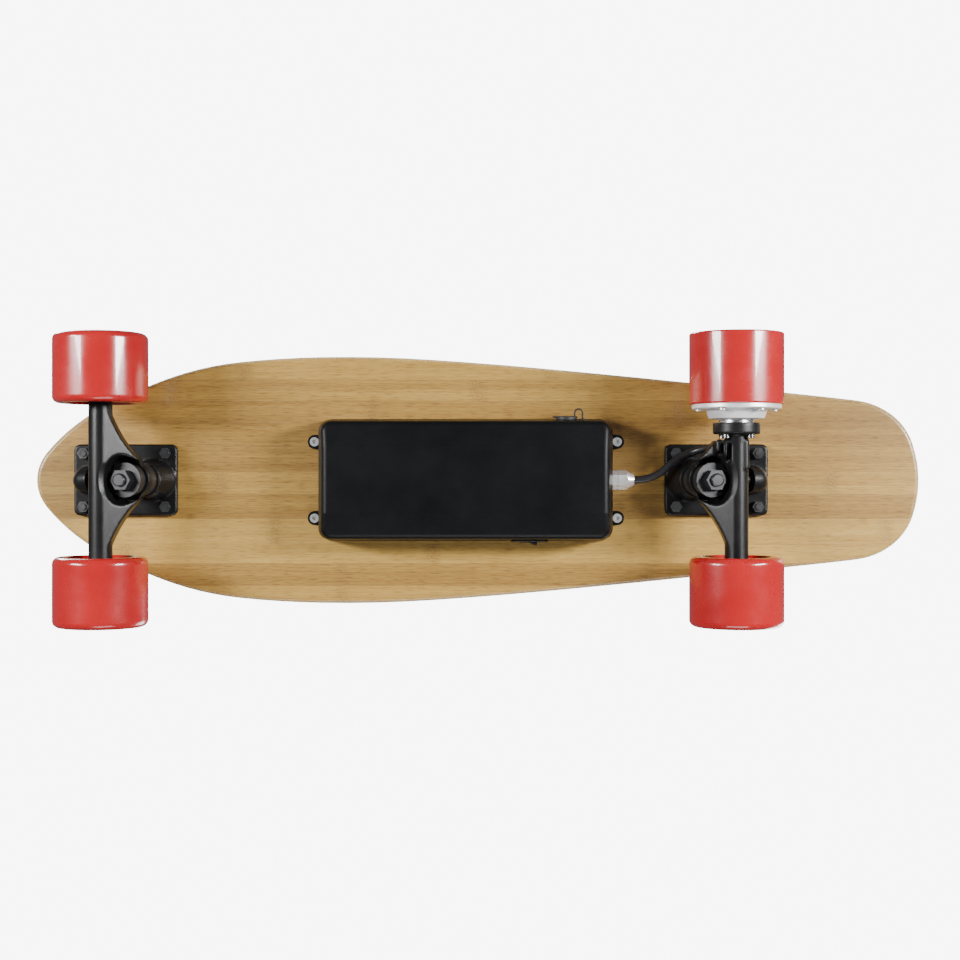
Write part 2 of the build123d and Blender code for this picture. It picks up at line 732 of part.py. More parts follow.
with BuildPart() as motor_magnets:
    with BuildSketch(Plane.XY.offset(stator_start - 1)):
        Circle(can_bore)
        Circle(magnet_bore, mode=Mode.SUBTRACT)
        with PolarLocations((can_bore + magnet_bore) / 2, magnet_count):
            Rectangle(can_bore - magnet_bore + 1, 1.0, mode=Mode.SUBTRACT)
    extrude(amount=stator_stack + 2)
write(motor_magnets.part.moved(hub_motor), "motor_magnets")

with BuildPart() as motor_inner_cover:
    with BuildSketch(Plane.XZ):
        with BuildLine():
            Polyline(
                (shaft_radius + 1.5, nose_face - 1),
                (cover_lip_radius, nose_face - 1),
                (cover_lip_radius, nose_face),
                (cover_nose_tip, nose_face),
                (cover_nose_foot, cover_face),
                (cover_disc_radius, cover_face),
                (cover_disc_radius, tyre_inner_face),
                (can_bore, tyre_inner_face),
                (can_bore, tyre_inner_face + 3),
                (can_bore - 4, tyre_inner_face + 3),
                (cover_nose_foot - 3, cover_face + 1),
                (cover_nose_tip - 4, nose_face + 2 + cover_bearing_width),
                (cover_bearing_radius, nose_face + 2 + cover_bearing_width),
                (cover_bearing_radius, nose_face + 2),
                (shaft_radius + 1.5, nose_face + 2),
                close=True,
            )
        make_face()
    revolve(axis=Axis.Z)
    with BuildSketch(Plane.XY.offset(cover_face)):
        with PolarLocations(cover_screw_circle, 6):
            Circle(cover_screw_radius)
    extrude(amount=cover_disc_thickness, mode=Mode.SUBTRACT)
    fillet(motor_inner_cover.edges().filter_by(GeomType.CIRCLE).sort_by(SortBy.RADIUS)[-2], 0.8)
write(motor_inner_cover.part.moved(hub_motor), "motor_inner_cover")

outer_cover_face = can_end + outer_cover_thickness
with BuildPart() as motor_outer_cover:
    with BuildSketch(Plane.XY.offset(can_end)):
        Circle(motor_tyre_bore)
    extrude(amount=outer_cover_thickness)
    with BuildSketch(Plane.XY.offset(can_end)):
        Circle(can_bore)
        Circle(can_bore - 2.5, mode=Mode.SUBTRACT)
        Circle(bearing_radius + 3)
    extrude(amount=-3)
    with BuildSketch(Plane.XY.offset(end_bearing_middle - bearing_width / 2)):
        Circle(bearing_radius + 3)
    extrude(amount=bearing_width)
    with BuildSketch(Plane.XY.offset(end_bearing_middle - bearing_width / 2)):
        Circle(bearing_radius)
    extrude(amount=bearing_width, mode=Mode.SUBTRACT)
    with BuildSketch(Plane.XY.offset(can_end)):
        Circle(end_recess_radius)
    extrude(amount=end_recess_depth, mode=Mode.SUBTRACT)
    with BuildSketch(Plane.XY.offset(outer_cover_face)):
        with PolarLocations(cover_screw_circle, 6):
            Circle(cover_screw_radius)
    extrude(amount=-outer_cover_thickness, mode=Mode.SUBTRACT)
write(motor_outer_cover.part.moved(hub_motor), "motor_outer_cover")

# Bearings and screws of the hub motor.
cover_bearing = bearing(
    shaft_radius, cover_bearing_radius, cover_bearing_width, nose_face + 2 + cover_bearing_width / 2, 14
)
end_bearing = bearing(axle_radius, bearing_radius, bearing_width, end_bearing_middle, 7)
motor_rings = (cover_bearing, end_bearing)
rear_inner = [rings[0].moved(hub_motor) for rings in motor_rings]
rear_inner += [piece.moved(hub_rear_right) for piece in inner_pieces]
write(group(*rear_inner), "rear_bearing_inner_rings")
write(group(*[part.moved(hub_motor) for rings in motor_rings for part in rings[1:]]), "motor_bearings")

cover_screw_length = 7.0
cover_screw_head_height = 1.4
with BuildPart() as motor_cover_screws:
    for face, way, head in ((cover_face, -1, cover_screw_head), (outer_cover_face, 1, 1.45)):
        with BuildSketch(Plane.XY.offset(face)):
            with PolarLocations(cover_screw_circle, 6):
                Circle(head)
        extrude(amount=way * cover_screw_head_height)
        with BuildSketch(Plane.XY.offset(face + way * cover_screw_head_height)):
            with PolarLocations(cover_screw_circle, 6):
                RegularPolygon(0.9, 6)
        extrude(amount=-way, mode=Mode.SUBTRACT)
        with BuildSketch(Plane.XY.offset(face)):
            with PolarLocations(cover_screw_circle, 6):
                Circle(cover_screw_radius)
        extrude(amount=-way * cover_screw_length)
write(motor_cover_screws.part.moved(hub_motor), "motor_cover_screws")

lead_radius = 2.2
with BuildPart() as motor_leads:
    with BuildSketch(Plane.XY.offset(wire_way_start + 1)):
        with PolarLocations(2.0, 3):
            Circle(1.5)
    extrude(amount=stator_start - 3 - wire_way_start)
write(group(motor_windings.part.moved(hub_motor), motor_leads.part.moved(hub_motor)), "motor_windings")

# ---------------------------------------------------------------- the pieces both trucks share
for end, place in trucks.items():
    write(baseplate.part.moved(place), f"{end}_baseplate")
    write(group(base_bushing.part.moved(place), outer_bushing.part.moved(place)), f"{end}_bushings")
shared_pieces = {
    "pivot_cups": pivot_cup.part,
    "kingpins": kingpin.part,
    "kingpin_nuts": kingpin_nut.part,
    "cup_washers": group(*cup_washers),
    "mount_bolts": mount_bolts.part,
    "mount_nuts": mount_nuts.part,
}
for name, piece in shared_pieces.items():
    write(group(piece.moved(front_truck), piece.moved(rear_truck)), name)

# ---------------------------------------------------------------- enclosure, under the deck
case_length = 224.0
case_width = 95.0
case_depth = 43.0
case_wall = 2.5
case_corner = 8.5
case_edge = 5.0
end_lean_start = 28.0  # depth under the deck where the end walls begin to lean in
end_lean = 4.2
panel_half = 25.0  # the flat middle panel; outside it the floor rises towards the sides
side_run = 3.0
side_depth = 38.5
gasket_thickness = 1.5
gasket_rim = 6.0
ear_radius = 5.5
ear_thickness = 4.5
port_depth = 20.0  # switch, charge socket and cable gland, below the deck
port_z = deck_under - port_depth
case_end = case_length / 2
case_floor = deck_under - case_depth + case_wall
case_top = deck_under - gasket_thickness
side_slope = atan2(side_run, side_depth - gasket_thickness)
switch_x = 39.6
socket_x = 68.0
gland_thread = 6.0


def side_line(depth):
    """The side wall's distance from the middle, at a depth below the deck."""
    return case_width / 2 - side_run * (depth - gasket_thickness) / (side_depth - gasket_thickness)


side_y = side_line(port_depth)
# Frames on the outside of the side walls: +Z outwards, +Y up.
switch_wall = Plane(
    origin=(switch_x, side_y, port_z), x_dir=(-1, 0, 0), z_dir=(0, cos(side_slope), -sin(side_slope))
)
socket_wall = Plane(
    origin=(socket_x, -side_y, port_z), x_dir=(1, 0, 0), z_dir=(0, -cos(side_slope), -sin(side_slope))
)
gland_wall = Plane(origin=(case_centre_x + case_end, 0, port_z), x_dir=(0, 1, 0), z_dir=(1, 0, 0))
socket_thread = 5.5
bezel_length = 28.0
bezel_width = 13.0
bezel_height = 1.6
switch_body_length = 22.0
switch_body_width = 11.4
switch_body_depth = 13.0


def ears():
    """The four screw ears' plan shape."""
    for x, y in case_screw_places:
        inward = -3 if x > case_centre_x else 3
        with Locations((x, y)):
            Circle(ear_radius)
        with Locations((x + inward, y)):
            Rectangle(6, 2 * ear_radius)


def case_block(inset):
    """The enclosure's outside when inset is 0, its inside when inset is the wall thickness."""
    with BuildPart() as block:
        with BuildSketch(Plane.YZ.offset(case_centre_x - case_end + inset)):
            with BuildLine():
                Polyline(
                    (0, case_top),
                    (case_width / 2 - inset, case_top),
                    (side_line(side_depth - inset) - inset, deck_under - side_depth + inset),
                    (panel_half, deck_under - case_depth + inset),
                    (0, deck_under - case_depth + inset),
                )
                mirror(about=Plane.YZ)
            make_face()
        extrude(amount=case_length - 2 * inset)
        base_end = case_end - inset
        panel_end = base_end - end_lean * (case_depth - inset - end_lean_start) / (case_depth - end_lean_start)
        with BuildSketch(Plane.XZ):
            with BuildLine():
                Polyline(
                    (case_centre_x - base_end, case_top),
                    (case_centre_x - base_end, deck_under - end_lean_start),
                    (case_centre_x - panel_end, deck_under - case_depth + inset),
                    (case_centre_x + panel_end, deck_under - case_depth + inset),
                    (case_centre_x + base_end, deck_under - end_lean_start),
                    (case_centre_x + base_end, case_top),
                    close=True,
                )
            make_face()
        extrude(amount=case_width, both=True, mode=Mode.INTERSECT)
        fillet([edge for edge in block.edges() if abs((edge % 0.5).Z) > 0.9], case_corner - inset)
        floor = block.faces().filter_by(lambda face: face.normal_at().Z < -0.9)
        rim = [edge for edge in floor.edges() if abs(edge.center().Y) > 2 and not on_crease(edge)]
        ends = [edge for edge in floor.edges() if abs(edge.center().X - case_centre_x) > case_end - case_corner]
        fillet(ShapeList(set(rim + ends)), case_edge - inset)
    return block.part


def on_crease(edge):
    """True for the two long creases beside the flat middle panel."""
    return abs((edge % 0.5).X) > 0.99 and abs(edge.center().Y) < panel_half + 1


with BuildPart() as enclosure_cover:
    add(case_block(0))
    add(case_block(case_wall), mode=Mode.SUBTRACT)
    with BuildSketch(Plane.XY.offset(case_top)):
        ears()
    extrude(amount=-ear_thickness)
    with BuildSketch(Plane.XY.offset(case_top)):
        with Locations(*case_screw_places):
            Circle(case_screw_radius + 0.2)
    extrude(amount=-ear_thickness, mode=Mode.SUBTRACT)
    with BuildSketch(gland_wall):
        Circle(gland_thread)
    extrude(amount=-case_wall, mode=Mode.SUBTRACT)
    with BuildSketch(socket_wall):
        Circle(socket_thread)
    extrude(amount=-2 * case_wall, mode=Mode.SUBTRACT)
    with BuildSketch(switch_wall):
        Rectangle(switch_body_length, switch_body_width)
    extrude(amount=-2 * case_wall, mode=Mode.SUBTRACT)
write(enclosure_cover.part, "enclosure_cover")

with BuildPart() as enclosure_gasket:
    with BuildSketch(Plane.XY.offset(deck_under)):
        with Locations((case_centre_x, 0)):
            RectangleRounded(case_length, case_width, case_corner)
            RectangleRounded(
                case_length - 2 * gasket_rim, case_width - 2 * gasket_rim, case_corner - 3, mode=Mode.SUBTRACT
            )
        ears()
        with Locations(*case_screw_places):
            Circle(case_screw_radius + 0.2, mode=Mode.SUBTRACT)
    extrude(amount=-gasket_thickness)
write(enclosure_gasket.part, "enclosure_gasket")

screw_head_radius = 3.5
screw_head_height = 4.0
screw_length = 12.0
ear_face = case_top - ear_thickness
with BuildPart() as enclosure_screws:
    with BuildSketch(Plane.XY.offset(ear_face)):
        with Locations(*case_screw_places):
            Circle(screw_head_radius)
    extrude(amount=-screw_head_height)
    with BuildSketch(Plane.XY.offset(ear_face)):
        with Locations(*case_screw_places):
            Circle(case_screw_radius)
    extrude(amount=screw_length)
    with BuildSketch(Plane.XY.offset(ear_face - screw_head_height)):
        with Locations(*case_screw_places):
            RegularPolygon(1.5, 6, major_radius=False)
    extrude(amount=2, mode=Mode.SUBTRACT)
write(enclosure_screws.part, "enclosure_screws")

with BuildPart() as enclosure_inserts:
    with BuildSketch(Plane.XY.offset(deck_under)):
        with Locations(*case_screw_places):
            Circle(insert_radius)
            Circle(case_screw_radius, mode=Mode.SUBTRACT)
    extrude(amount=insert_depth)
write(enclosure_inserts.part, "enclosure_inserts")

# ---------------------------------------------------------------- battery: ten cells in two layers
cell_radius = 9.1
cell_length = 65.0
cell_pitch = 18.6
cell_columns = 5
deck_pad = 0.8
pack_x = case_centre_x - case_end + case_wall + 2 + cell_radius
layer_z = [deck_under - deck_pad - cell_radius - layer * cell_pitch for layer in (0, 1)]
cell_places = [(pack_x + column * cell_pitch, z) for column in range(cell_columns) for z in layer_z]
pack_middle = pack_x + (cell_columns - 1) / 2 * cell_pitch
pack_end = pack_x + (cell_columns - 1) * cell_pitch + cell_radius
pack_bottom = layer_z[1] - cell_radius
strip_thickness = 0.3

with BuildPart() as battery_cells:
    with BuildSketch(Plane.XZ.offset(-cell_length / 2)):
        with Locations(*cell_places):
            Circle(cell_radius)
    extrude(amount=cell_length)
write(battery_cells.part, "battery_cells")

with BuildPart() as battery_strips:
    with BuildSketch(Plane.XZ.offset(-cell_length / 2)):
        for column in range(cell_columns):
            with Locations((pack_x + column * cell_pitch, sum(layer_z) / 2)):
                Rectangle(8, cell_pitch + 8)
    extrude(amount=-strip_thickness)
    with BuildSketch(Plane.XZ.offset(cell_length / 2)):
        for column in range(cell_columns - 1):
            with Locations((pack_x + (column + 0.5) * cell_pitch, layer_z[column % 2])):
                Rectangle(cell_pitch + 8, 8)
    extrude(amount=strip_thickness)
write(battery_strips.part, "battery_strips")

with BuildPart() as battery_pads:
    with Locations((pack_middle, 0, deck_under)):
        Box(86, 56, deck_pad, align=(Align.CENTER, Align.CENTER, Align.MAX))
    with Locations((pack_middle, 0, case_floor)):
        Box(80, 2 * panel_half - 6, pack_bottom - case_floor, align=(Align.CENTER, Align.CENTER, Align.MIN))
write(battery_pads.part, "battery_pads")

with BuildPart() as battery_board:
    with Locations((pack_end + 0.3, 0, layer_z[1] - 6)):
        Box(1.6, 58, 34, align=(Align.MIN, Align.CENTER, Align.MIN))
    with Locations(*[(pack_end + 1.9, -22 + 11 * i, layer_z[1] + 4) for i in range(5)]):
        Box(1.4, 6, 5, align=(Align.MIN, Align.CENTER, Align.MIN))
    with Locations((pack_end + 1.9, 0, layer_z[1] + 17)):
        Box(6, 24, 5, align=(Align.MIN, Align.CENTER, Align.MIN))
write(battery_board.part, "battery_board")

# ---------------------------------------------------------------- motor controller
board_length = 88.0
board_width = 54.0
board_thickness = 1.6
board_x = 31.0
board_under = case_floor + 7.5
board_top = board_under + board_thickness

with BuildPart() as controller_board:
    with BuildSketch(Plane.XY.offset(board_under)):
        with Locations((board_x, 0)):
            RectangleRounded(board_length, board_width, 2)
    extrude(amount=board_thickness)
    with Locations((board_x + 8, 2, board_top)):
        Box(10, 10, 1.2, align=(Align.CENTER, Align.CENTER, Align.MIN))
    with Locations((board_x + 40, 0, board_top)):
        Box(7, 26, 6, align=(Align.CENTER, Align.CENTER, Align.MIN))
    with Locations((board_x - 20, 24, board_top), (board_x + 10, -24, board_top)):
        Box(14, 5, 5, align=(Align.CENTER, Align.CENTER, Align.MIN))

with BuildPart() as controller_heat_sink:
    with Locations((board_x + 2, 0, case_floor)):
        Box(48, 30, board_under - case_floor, align=(Align.CENTER, Align.CENTER, Align.MIN))
    with BuildSketch(Plane.XZ.offset(15)):
        with Locations(*[(board_x + 2 - 20 + 5 * i, case_floor + 1.8) for i in range(9)]):
            Rectangle(2.4, 3.6)
    extrude(amount=-30, mode=Mode.SUBTRACT)
write(controller_heat_sink.part, "controller_heat_sink")

with BuildPart() as controller_capacitors:
    with Locations(*[(board_x - 32, 13 * i, board_top) for i in (-1, 0, 1)]):
        Cylinder(5, 16, align=(Align.CENTER, Align.CENTER, Align.MIN))
    chamfer(controller_capacitors.edges().group_by(Axis.Z)[-1], 0.5)
write(group(controller_board.part, controller_capacitors.part), "controller_board")

with BuildPart() as receiver_board:
    with Locations((board_x + 22, -8, board_top)):
        Box(20, 2.5, 8.5, align=(Align.CENTER, Align.CENTER, Align.MIN))
    with Locations((board_x + 22, -1, board_top + 8.5)):
        Box(24, 18, 1, align=(Align.CENTER, Align.CENTER, Align.MIN))
    with Locations((board_x + 22, 0, board_top + 9.5)):
        Box(5, 5, 1, align=(Align.CENTER, Align.CENTER, Align.MIN))
write(receiver_board.part, "receiver_board")

# ---------------------------------------------------------------- charge socket and its rubber cap
socket_flange_radius = 7.0
socket_flange_height = 1.5
socket_depth = 14.0
plug_radius = 2.75
pin_radius = 1.05
plug_depth = 9.5

with BuildPart() as charge_socket:
    with BuildSketch(socket_wall):
        Circle(socket_flange_radius)
    extrude(amount=socket_flange_height)
    with BuildSketch(socket_wall):
        Circle(socket_thread)
    extrude(amount=-socket_depth)
    with BuildSketch(socket_wall.offset(socket_flange_height)):
        Circle(plug_radius)
        Circle(pin_radius, mode=Mode.SUBTRACT)
    extrude(amount=-plug_depth, mode=Mode.SUBTRACT)
    with BuildSketch(socket_wall.offset(socket_flange_height)):
        Circle(plug_radius)
    extrude(amount=-0.8, mode=Mode.SUBTRACT)

with BuildPart() as charge_socket_nut:
    with BuildSketch(socket_wall.offset(-case_wall)):
        RegularPolygon(7, 6, major_radius=False)
        Circle(socket_thread, mode=Mode.SUBTRACT)
    extrude(amount=-2.5)
write(group(charge_socket.part, charge_socket_nut.part), "charge_socket")

cap_radius = 8.3
cap_height = 2.9
cap_skirt = 0.9
cap_top = 1.0
loop_near = 6.2  # the tether's loop, from the socket's middle to its two feet
loop_far = 12.2
loop_straight = 5.4
strap_width = 4.0
strap_thickness = 1.1

with BuildPart() as charge_cap:
    with BuildSketch(socket_wall.offset(fit_gap)):
        Circle(cap_radius)
    extrude(amount=cap_height - fit_gap)
    with BuildSketch(socket_wall.offset(fit_gap)):
        Circle(cap_radius - cap_skirt)
    extrude(amount=cap_height - cap_top - fit_gap, mode=Mode.SUBTRACT)
    with BuildSketch(socket_wall.offset(cap_height)):
        with Locations((-cap_radius, 0)):
            Rectangle(5, 6)
    extrude(amount=-cap_top)
write(charge_cap.part, "charge_cap")

with BuildPart() as cap_tether:
    with BuildSketch(Plane(origin=socket_wall.origin, x_dir=socket_wall.x_dir, z_dir=socket_wall.y_dir * -1)):
        with BuildLine():
            Line((loop_near, cap_height), (loop_near, loop_straight))
            ThreePointArc(
                (loop_near, loop_straight),
                ((loop_near + loop_far) / 2, loop_straight + (loop_far - loop_near) / 2),
                (loop_far, loop_straight),
            )
            Line((loop_far, loop_straight), (loop_far, 0))
        trace(line_width=strap_thickness)
    extrude(amount=strap_width / 2, both=True)
    with BuildSketch(socket_wall):
        with Locations((loop_far, 0)):
            Circle(3)
    extrude(amount=0.9)
write(cap_tether.part, "cap_tether")

# ---------------------------------------------------------------- power switch
rocker_half = 6.4
rocker_width = 8.0
rocker_crest = 2.1  # height of the rocker's middle over the wall
rocker_tilt = 10.0
rocker_pivot = -1.5
rocker_pin_radius = 0.8
rocker_well_length = 15.2
rocker_well_width = 8.8
rocker_well_depth = 6.0
rocker_axis = switch_wall.offset(rocker_pivot)

with BuildPart() as switch_housing:
    with BuildSketch(switch_wall):
        RectangleRounded(bezel_length, bezel_width, 2)
    extrude(amount=bezel_height)
    fillet(switch_housing.edges().filter_by(Axis.X), 0.5)
    with BuildSketch(switch_wall):
        Rectangle(switch_body_length, switch_body_width)
    extrude(amount=-switch_body_depth)
    with BuildSketch(switch_wall.offset(bezel_height)):
        Rectangle(rocker_well_length, rocker_well_width)
    extrude(amount=-bezel_height - rocker_well_depth, mode=Mode.SUBTRACT)
    with BuildSketch(Plane(origin=rocker_axis.origin, x_dir=rocker_axis.x_dir, z_dir=rocker_axis.y_dir)):
        Circle(rocker_pin_radius + running_gap)
    extrude(amount=rocker_well_width / 2 + 0.8, both=True, mode=Mode.SUBTRACT)
    with BuildSketch(switch_wall.offset(-switch_body_depth)):
        with Locations((-6, 0), (0, 0), (6, 0)):
            Rectangle(0.8, 4.8)
    extrude(amount=-7)
write(switch_housing.part, "switch_housing")

# The rocker's own frame is turned by its tilt about the pivot: it rests with one end down.
rocker_frame = Plane(rocker_axis.location * Location((0, 0, 0), (0, rocker_tilt, 0)))
crest = rocker_crest - rocker_pivot
end_rise = rocker_half * sin(radians(rocker_tilt))
with BuildPart() as power_rocker:
    with BuildSketch(Plane(origin=rocker_frame.origin, x_dir=rocker_frame.x_dir, z_dir=rocker_frame.y_dir * -1)):
        with BuildLine():
            Polyline(
                (0, crest), (rocker_half, crest + end_rise), (rocker_half, 0), (4, -3), (-4, -3),
                (-rocker_half, 0), (-rocker_half, crest + end_rise), close=True,
            )
        make_face()
    extrude(amount=rocker_width / 2, both=True)
    with BuildSketch(Plane(origin=rocker_frame.origin, x_dir=rocker_frame.x_dir, z_dir=rocker_frame.y_dir)):
        Circle(rocker_pin_radius)
    extrude(amount=rocker_well_width / 2 + 0.6, both=True)
write(power_rocker.part, "power_rocker")

# ---------------------------------------------------------------- cable gland and motor cable
cable_radius = 2.9
gland_flats = 13.0
gland_base = 4.0
gland_length = 16.7
gland_stub = 8.0
gland_stub_radius = 4.6
gland_bore = 3.2

with BuildPart() as cable_gland:
    with BuildSketch(gland_wall):
        RegularPolygon(gland_flats / 2, 6, major_radius=False)
    extrude(amount=gland_base)
    with BuildSketch(gland_wall):
        Circle(gland_thread)
    extrude(amount=-10)
    with BuildSketch(gland_wall):
        Circle(gland_stub_radius)
    extrude(amount=gland_stub)
    with BuildSketch(gland_wall.offset(-10)):
        Circle(gland_bore)
    extrude(amount=10 + gland_stub, mode=Mode.SUBTRACT)

with BuildPart() as gland_locknut:
    with BuildSketch(gland_wall.offset(-case_wall)):
        RegularPolygon(7.5, 6, major_radius=False)
        Circle(gland_thread, mode=Mode.SUBTRACT)
    extrude(amount=-3)

nut_start = gland_base + 0.3
with BuildPart() as gland_dome_nut:
    with BuildSketch(gland_wall.offset(nut_start)):
        RegularPolygon(gland_flats / 2, 6, major_radius=False)
    extrude(amount=gland_length - nut_start)
    with BuildSketch(Plane.XZ):
        with BuildLine():
            Polyline((0, 0), (7.6, 0), (7.6, 5.6), (6.6, 7.6), (4.3, gland_length - nut_start), (0, 12.4), close=True)
        make_face()
    nose = revolve(axis=Axis.Z, mode=Mode.PRIVATE)
    add((gland_wall.offset(nut_start)).location * nose, mode=Mode.INTERSECT)
    with BuildSketch(gland_wall.offset(nut_start)):
        Circle(gland_stub_radius)
    extrude(amount=gland_stub, mode=Mode.SUBTRACT)
    with BuildSketch(gland_wall.offset(nut_start)):
        Circle(2.4)
    extrude(amount=gland_length, mode=Mode.SUBTRACT)
write(gland_dome_nut.part, "gland_dome_nut")

with BuildPart() as gland_seal:
    with BuildSketch(gland_wall.offset(gland_stub)):
        Circle(gland_stub_radius)
        Circle(2.4, mode=Mode.SUBTRACT)
    extrude(amount=nut_start)
write(group(cable_gland.part, gland_locknut.part, gland_seal.part), "cable_gland")

with BuildPart() as cable_grommet:
    with BuildSketch(grommet_axis):
        Circle(grommet_seat_radius - 0.2)
    with BuildSketch(grommet_axis.offset(3)):
        Circle(grommet_seat_radius - 1.2)
    loft()
    with BuildSketch(grommet_axis):
        Circle(grommet_radius)
    extrude(amount=-6)
    with BuildSketch(grommet_axis.offset(3)):
        Circle(lead_radius)
    extrude(amount=-9, mode=Mode.SUBTRACT)
write(cable_grommet.part.moved(rear_truck), "cable_grommet")

cable_start = gland_wall.offset(gland_length).origin
cable_end_frame = Plane(rear_truck * grommet_axis.offset(3).location)
cable_end = cable_end_frame.origin
cable_dive = cable_end + cable_end_frame.z_dir * 20
cable_points = [
    cable_start,
    cable_start + Vector(14.5, 0, 0),
    Vector(152.5, -16.5, port_z),
    cable_dive,
    cable_end,
]


def route(points):
    """The bend radii of a cable through these points; prints them with the runs between the points."""
    radii = []
    for before, corner, after in zip(points, points[1:], points[2:]):
        turn = radians((corner - before).get_angle(after - corner))
        shorter = min((corner - before).length, (after - corner).length)
        radii.append(0.45 * shorter / (sin(turn / 2) / cos(turn / 2)))
    print("cable runs", [round((b - a).length, 1) for a, b in zip(points, points[1:])])
    print("cable bend radii", [round(radius, 1) for radius in radii])
    return radii


with BuildPart() as motor_cable:
    with BuildLine() as cable_line:
        FilletPolyline(*cable_points, radius=route(cable_points))
    with BuildSketch(Plane(origin=cable_start, z_dir=(1, 0, 0))):
        Circle(cable_radius)
    sweep()
cable_length = sum(edge.length for edge in cable_line.edges())
section = pi * cable_radius**2
print("cable length", round(cable_length, 1))
print("cable volume", round(motor_cable.part.volume), "and its section times its length", round(section * cable_length))
write(motor_cable.part, "motor_cable")
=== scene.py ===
import math

import bmesh
import bpy
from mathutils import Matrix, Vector


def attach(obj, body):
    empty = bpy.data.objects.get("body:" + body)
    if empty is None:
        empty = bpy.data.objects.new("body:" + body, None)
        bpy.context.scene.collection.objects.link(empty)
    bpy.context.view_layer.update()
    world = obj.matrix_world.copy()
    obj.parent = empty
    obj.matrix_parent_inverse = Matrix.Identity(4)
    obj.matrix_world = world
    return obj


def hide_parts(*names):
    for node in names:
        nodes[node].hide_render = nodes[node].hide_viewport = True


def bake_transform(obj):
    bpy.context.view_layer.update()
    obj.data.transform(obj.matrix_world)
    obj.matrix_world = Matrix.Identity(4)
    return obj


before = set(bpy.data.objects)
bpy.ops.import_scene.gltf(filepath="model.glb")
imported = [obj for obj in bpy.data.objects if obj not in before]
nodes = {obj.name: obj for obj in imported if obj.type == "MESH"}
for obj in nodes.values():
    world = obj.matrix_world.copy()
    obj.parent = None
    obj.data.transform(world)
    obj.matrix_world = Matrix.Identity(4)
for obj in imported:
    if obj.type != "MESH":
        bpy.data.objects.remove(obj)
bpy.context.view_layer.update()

# Metres, in the solids' frame: the origin on the ground under the deck's middle, -X the nose, +Z up.
deck_under = 0.090
axle_height = 0.035
front_x, rear_x = -0.2805, 0.1925


# ------------------------------------------------------------------ the view
# The board is seen square on from below, the nose to the left and the motor wheel at the top right.
# The camera stands where a studio camera over the upturned board would, at about one and a quarter metres.
camera_distance = 1.225
view_middle_x = 0.00175
camera_data = bpy.data.cameras.new("camera")
camera = bpy.data.objects.new("camera", camera_data)
bpy.context.scene.collection.objects.link(camera)
bpy.context.scene.camera = camera
camera_data.sensor_width = 36.0
camera_data.lens = 59.0
camera_data.clip_end = 100.0
camera.location = (view_middle_x, 0.0, deck_under - camera_distance)
camera.rotation_euler = (math.pi, 0.0, 0.0)


# ------------------------------------------------------------------ shader helpers
def add_node(tree, kind, sockets=None, **settings):
    """Adds a shader node, with its settings and its unlinked sockets' values."""
    made = tree.nodes.new(kind)
    for key, value in settings.items():
        setattr(made, key, value)
    for key, value in (sockets or {}).items():
        made.inputs[key].default_value = value
    return made


def join(tree, source, target):
    """Links an output to an input."""
    tree.links.new(source, target)


def fine_texture_group():
    """Small bumps and blotches of any size, for paint, plastic, rubber and plated metal."""
    made = bpy.data.node_groups.new("fine_texture", "ShaderNodeTree")
    for name, value in (("Grains per metre", 2500.0), ("Blotches per metre", 60.0), ("Stretch", 1.0)):
        socket = made.interface.new_socket(name, in_out="INPUT", socket_type="NodeSocketFloat")
        socket.default_value = value
    made.interface.new_socket("Grain", in_out="OUTPUT", socket_type="NodeSocketFloat")
    made.interface.new_socket("Blotch", in_out="OUTPUT", socket_type="NodeSocketFloat")
    start = made.nodes.new("NodeGroupInput")
    end = made.nodes.new("NodeGroupOutput")
    place = add_node(made, "ShaderNodeTexCoord")
    squeeze = add_node(made, "ShaderNodeCombineXYZ", {"Y": 1.0, "Z": 1.0})
    mapping = add_node(made, "ShaderNodeMapping")
    grain = add_node(made, "ShaderNodeTexNoise", {"Detail": 3.0, "Roughness": 0.55})
    blotch = add_node(made, "ShaderNodeTexNoise", {"Detail": 4.0, "Roughness": 0.6})
    join(made, start.outputs["Stretch"], squeeze.inputs["X"])
    join(made, place.outputs["Object"], mapping.inputs["Vector"])
    join(made, squeeze.outputs[0], mapping.inputs["Scale"])
    join(made, mapping.outputs[0], grain.inputs["Vector"])
    join(made, place.outputs["Object"], blotch.inputs["Vector"])
    join(made, start.outputs["Grains per metre"], grain.inputs["Scale"])
    join(made, start.outputs["Blotches per metre"], blotch.inputs["Scale"])
    join(made, grain.outputs[0], end.inputs["Grain"])
    join(made, blotch.outputs[0], end.inputs["Blotch"])
    return made


fine_texture = fine_texture_group()


def fresh_material(name, **sockets):
    """A node material with its constant shader values set; keys use _ for a space."""
    made = bpy.data.materials.new(name)
    made.use_nodes = True
    shader = made.node_tree.nodes["Principled BSDF"]
    for key, value in sockets.items():
        shader.inputs[key.replace("_", " ")].default_value = value
    return made, made.node_tree, shader


def remap(tree, source, low, high, to_low, to_high):
    """Carries a value from one range to another, and stops at the ends."""
    made = add_node(
        tree,
        "ShaderNodeMapRange",
        {"From Min": low, "From Max": high, "To Min": to_low, "To Max": to_high},
    )
    join(tree, source, made.inputs["Value"])
    return made.outputs["Result"]


def calculate(tree, operation, first, second=0.5):
    """One Math node; either value may be an output or a number."""
    made = add_node(tree, "ShaderNodeMath", operation=operation)
    for socket, value in zip(made.inputs, (first, second)):
        if isinstance(value, (int, float)):
            socket.default_value = value
        else:
            join(tree, value, socket)
    return made.outputs[0]


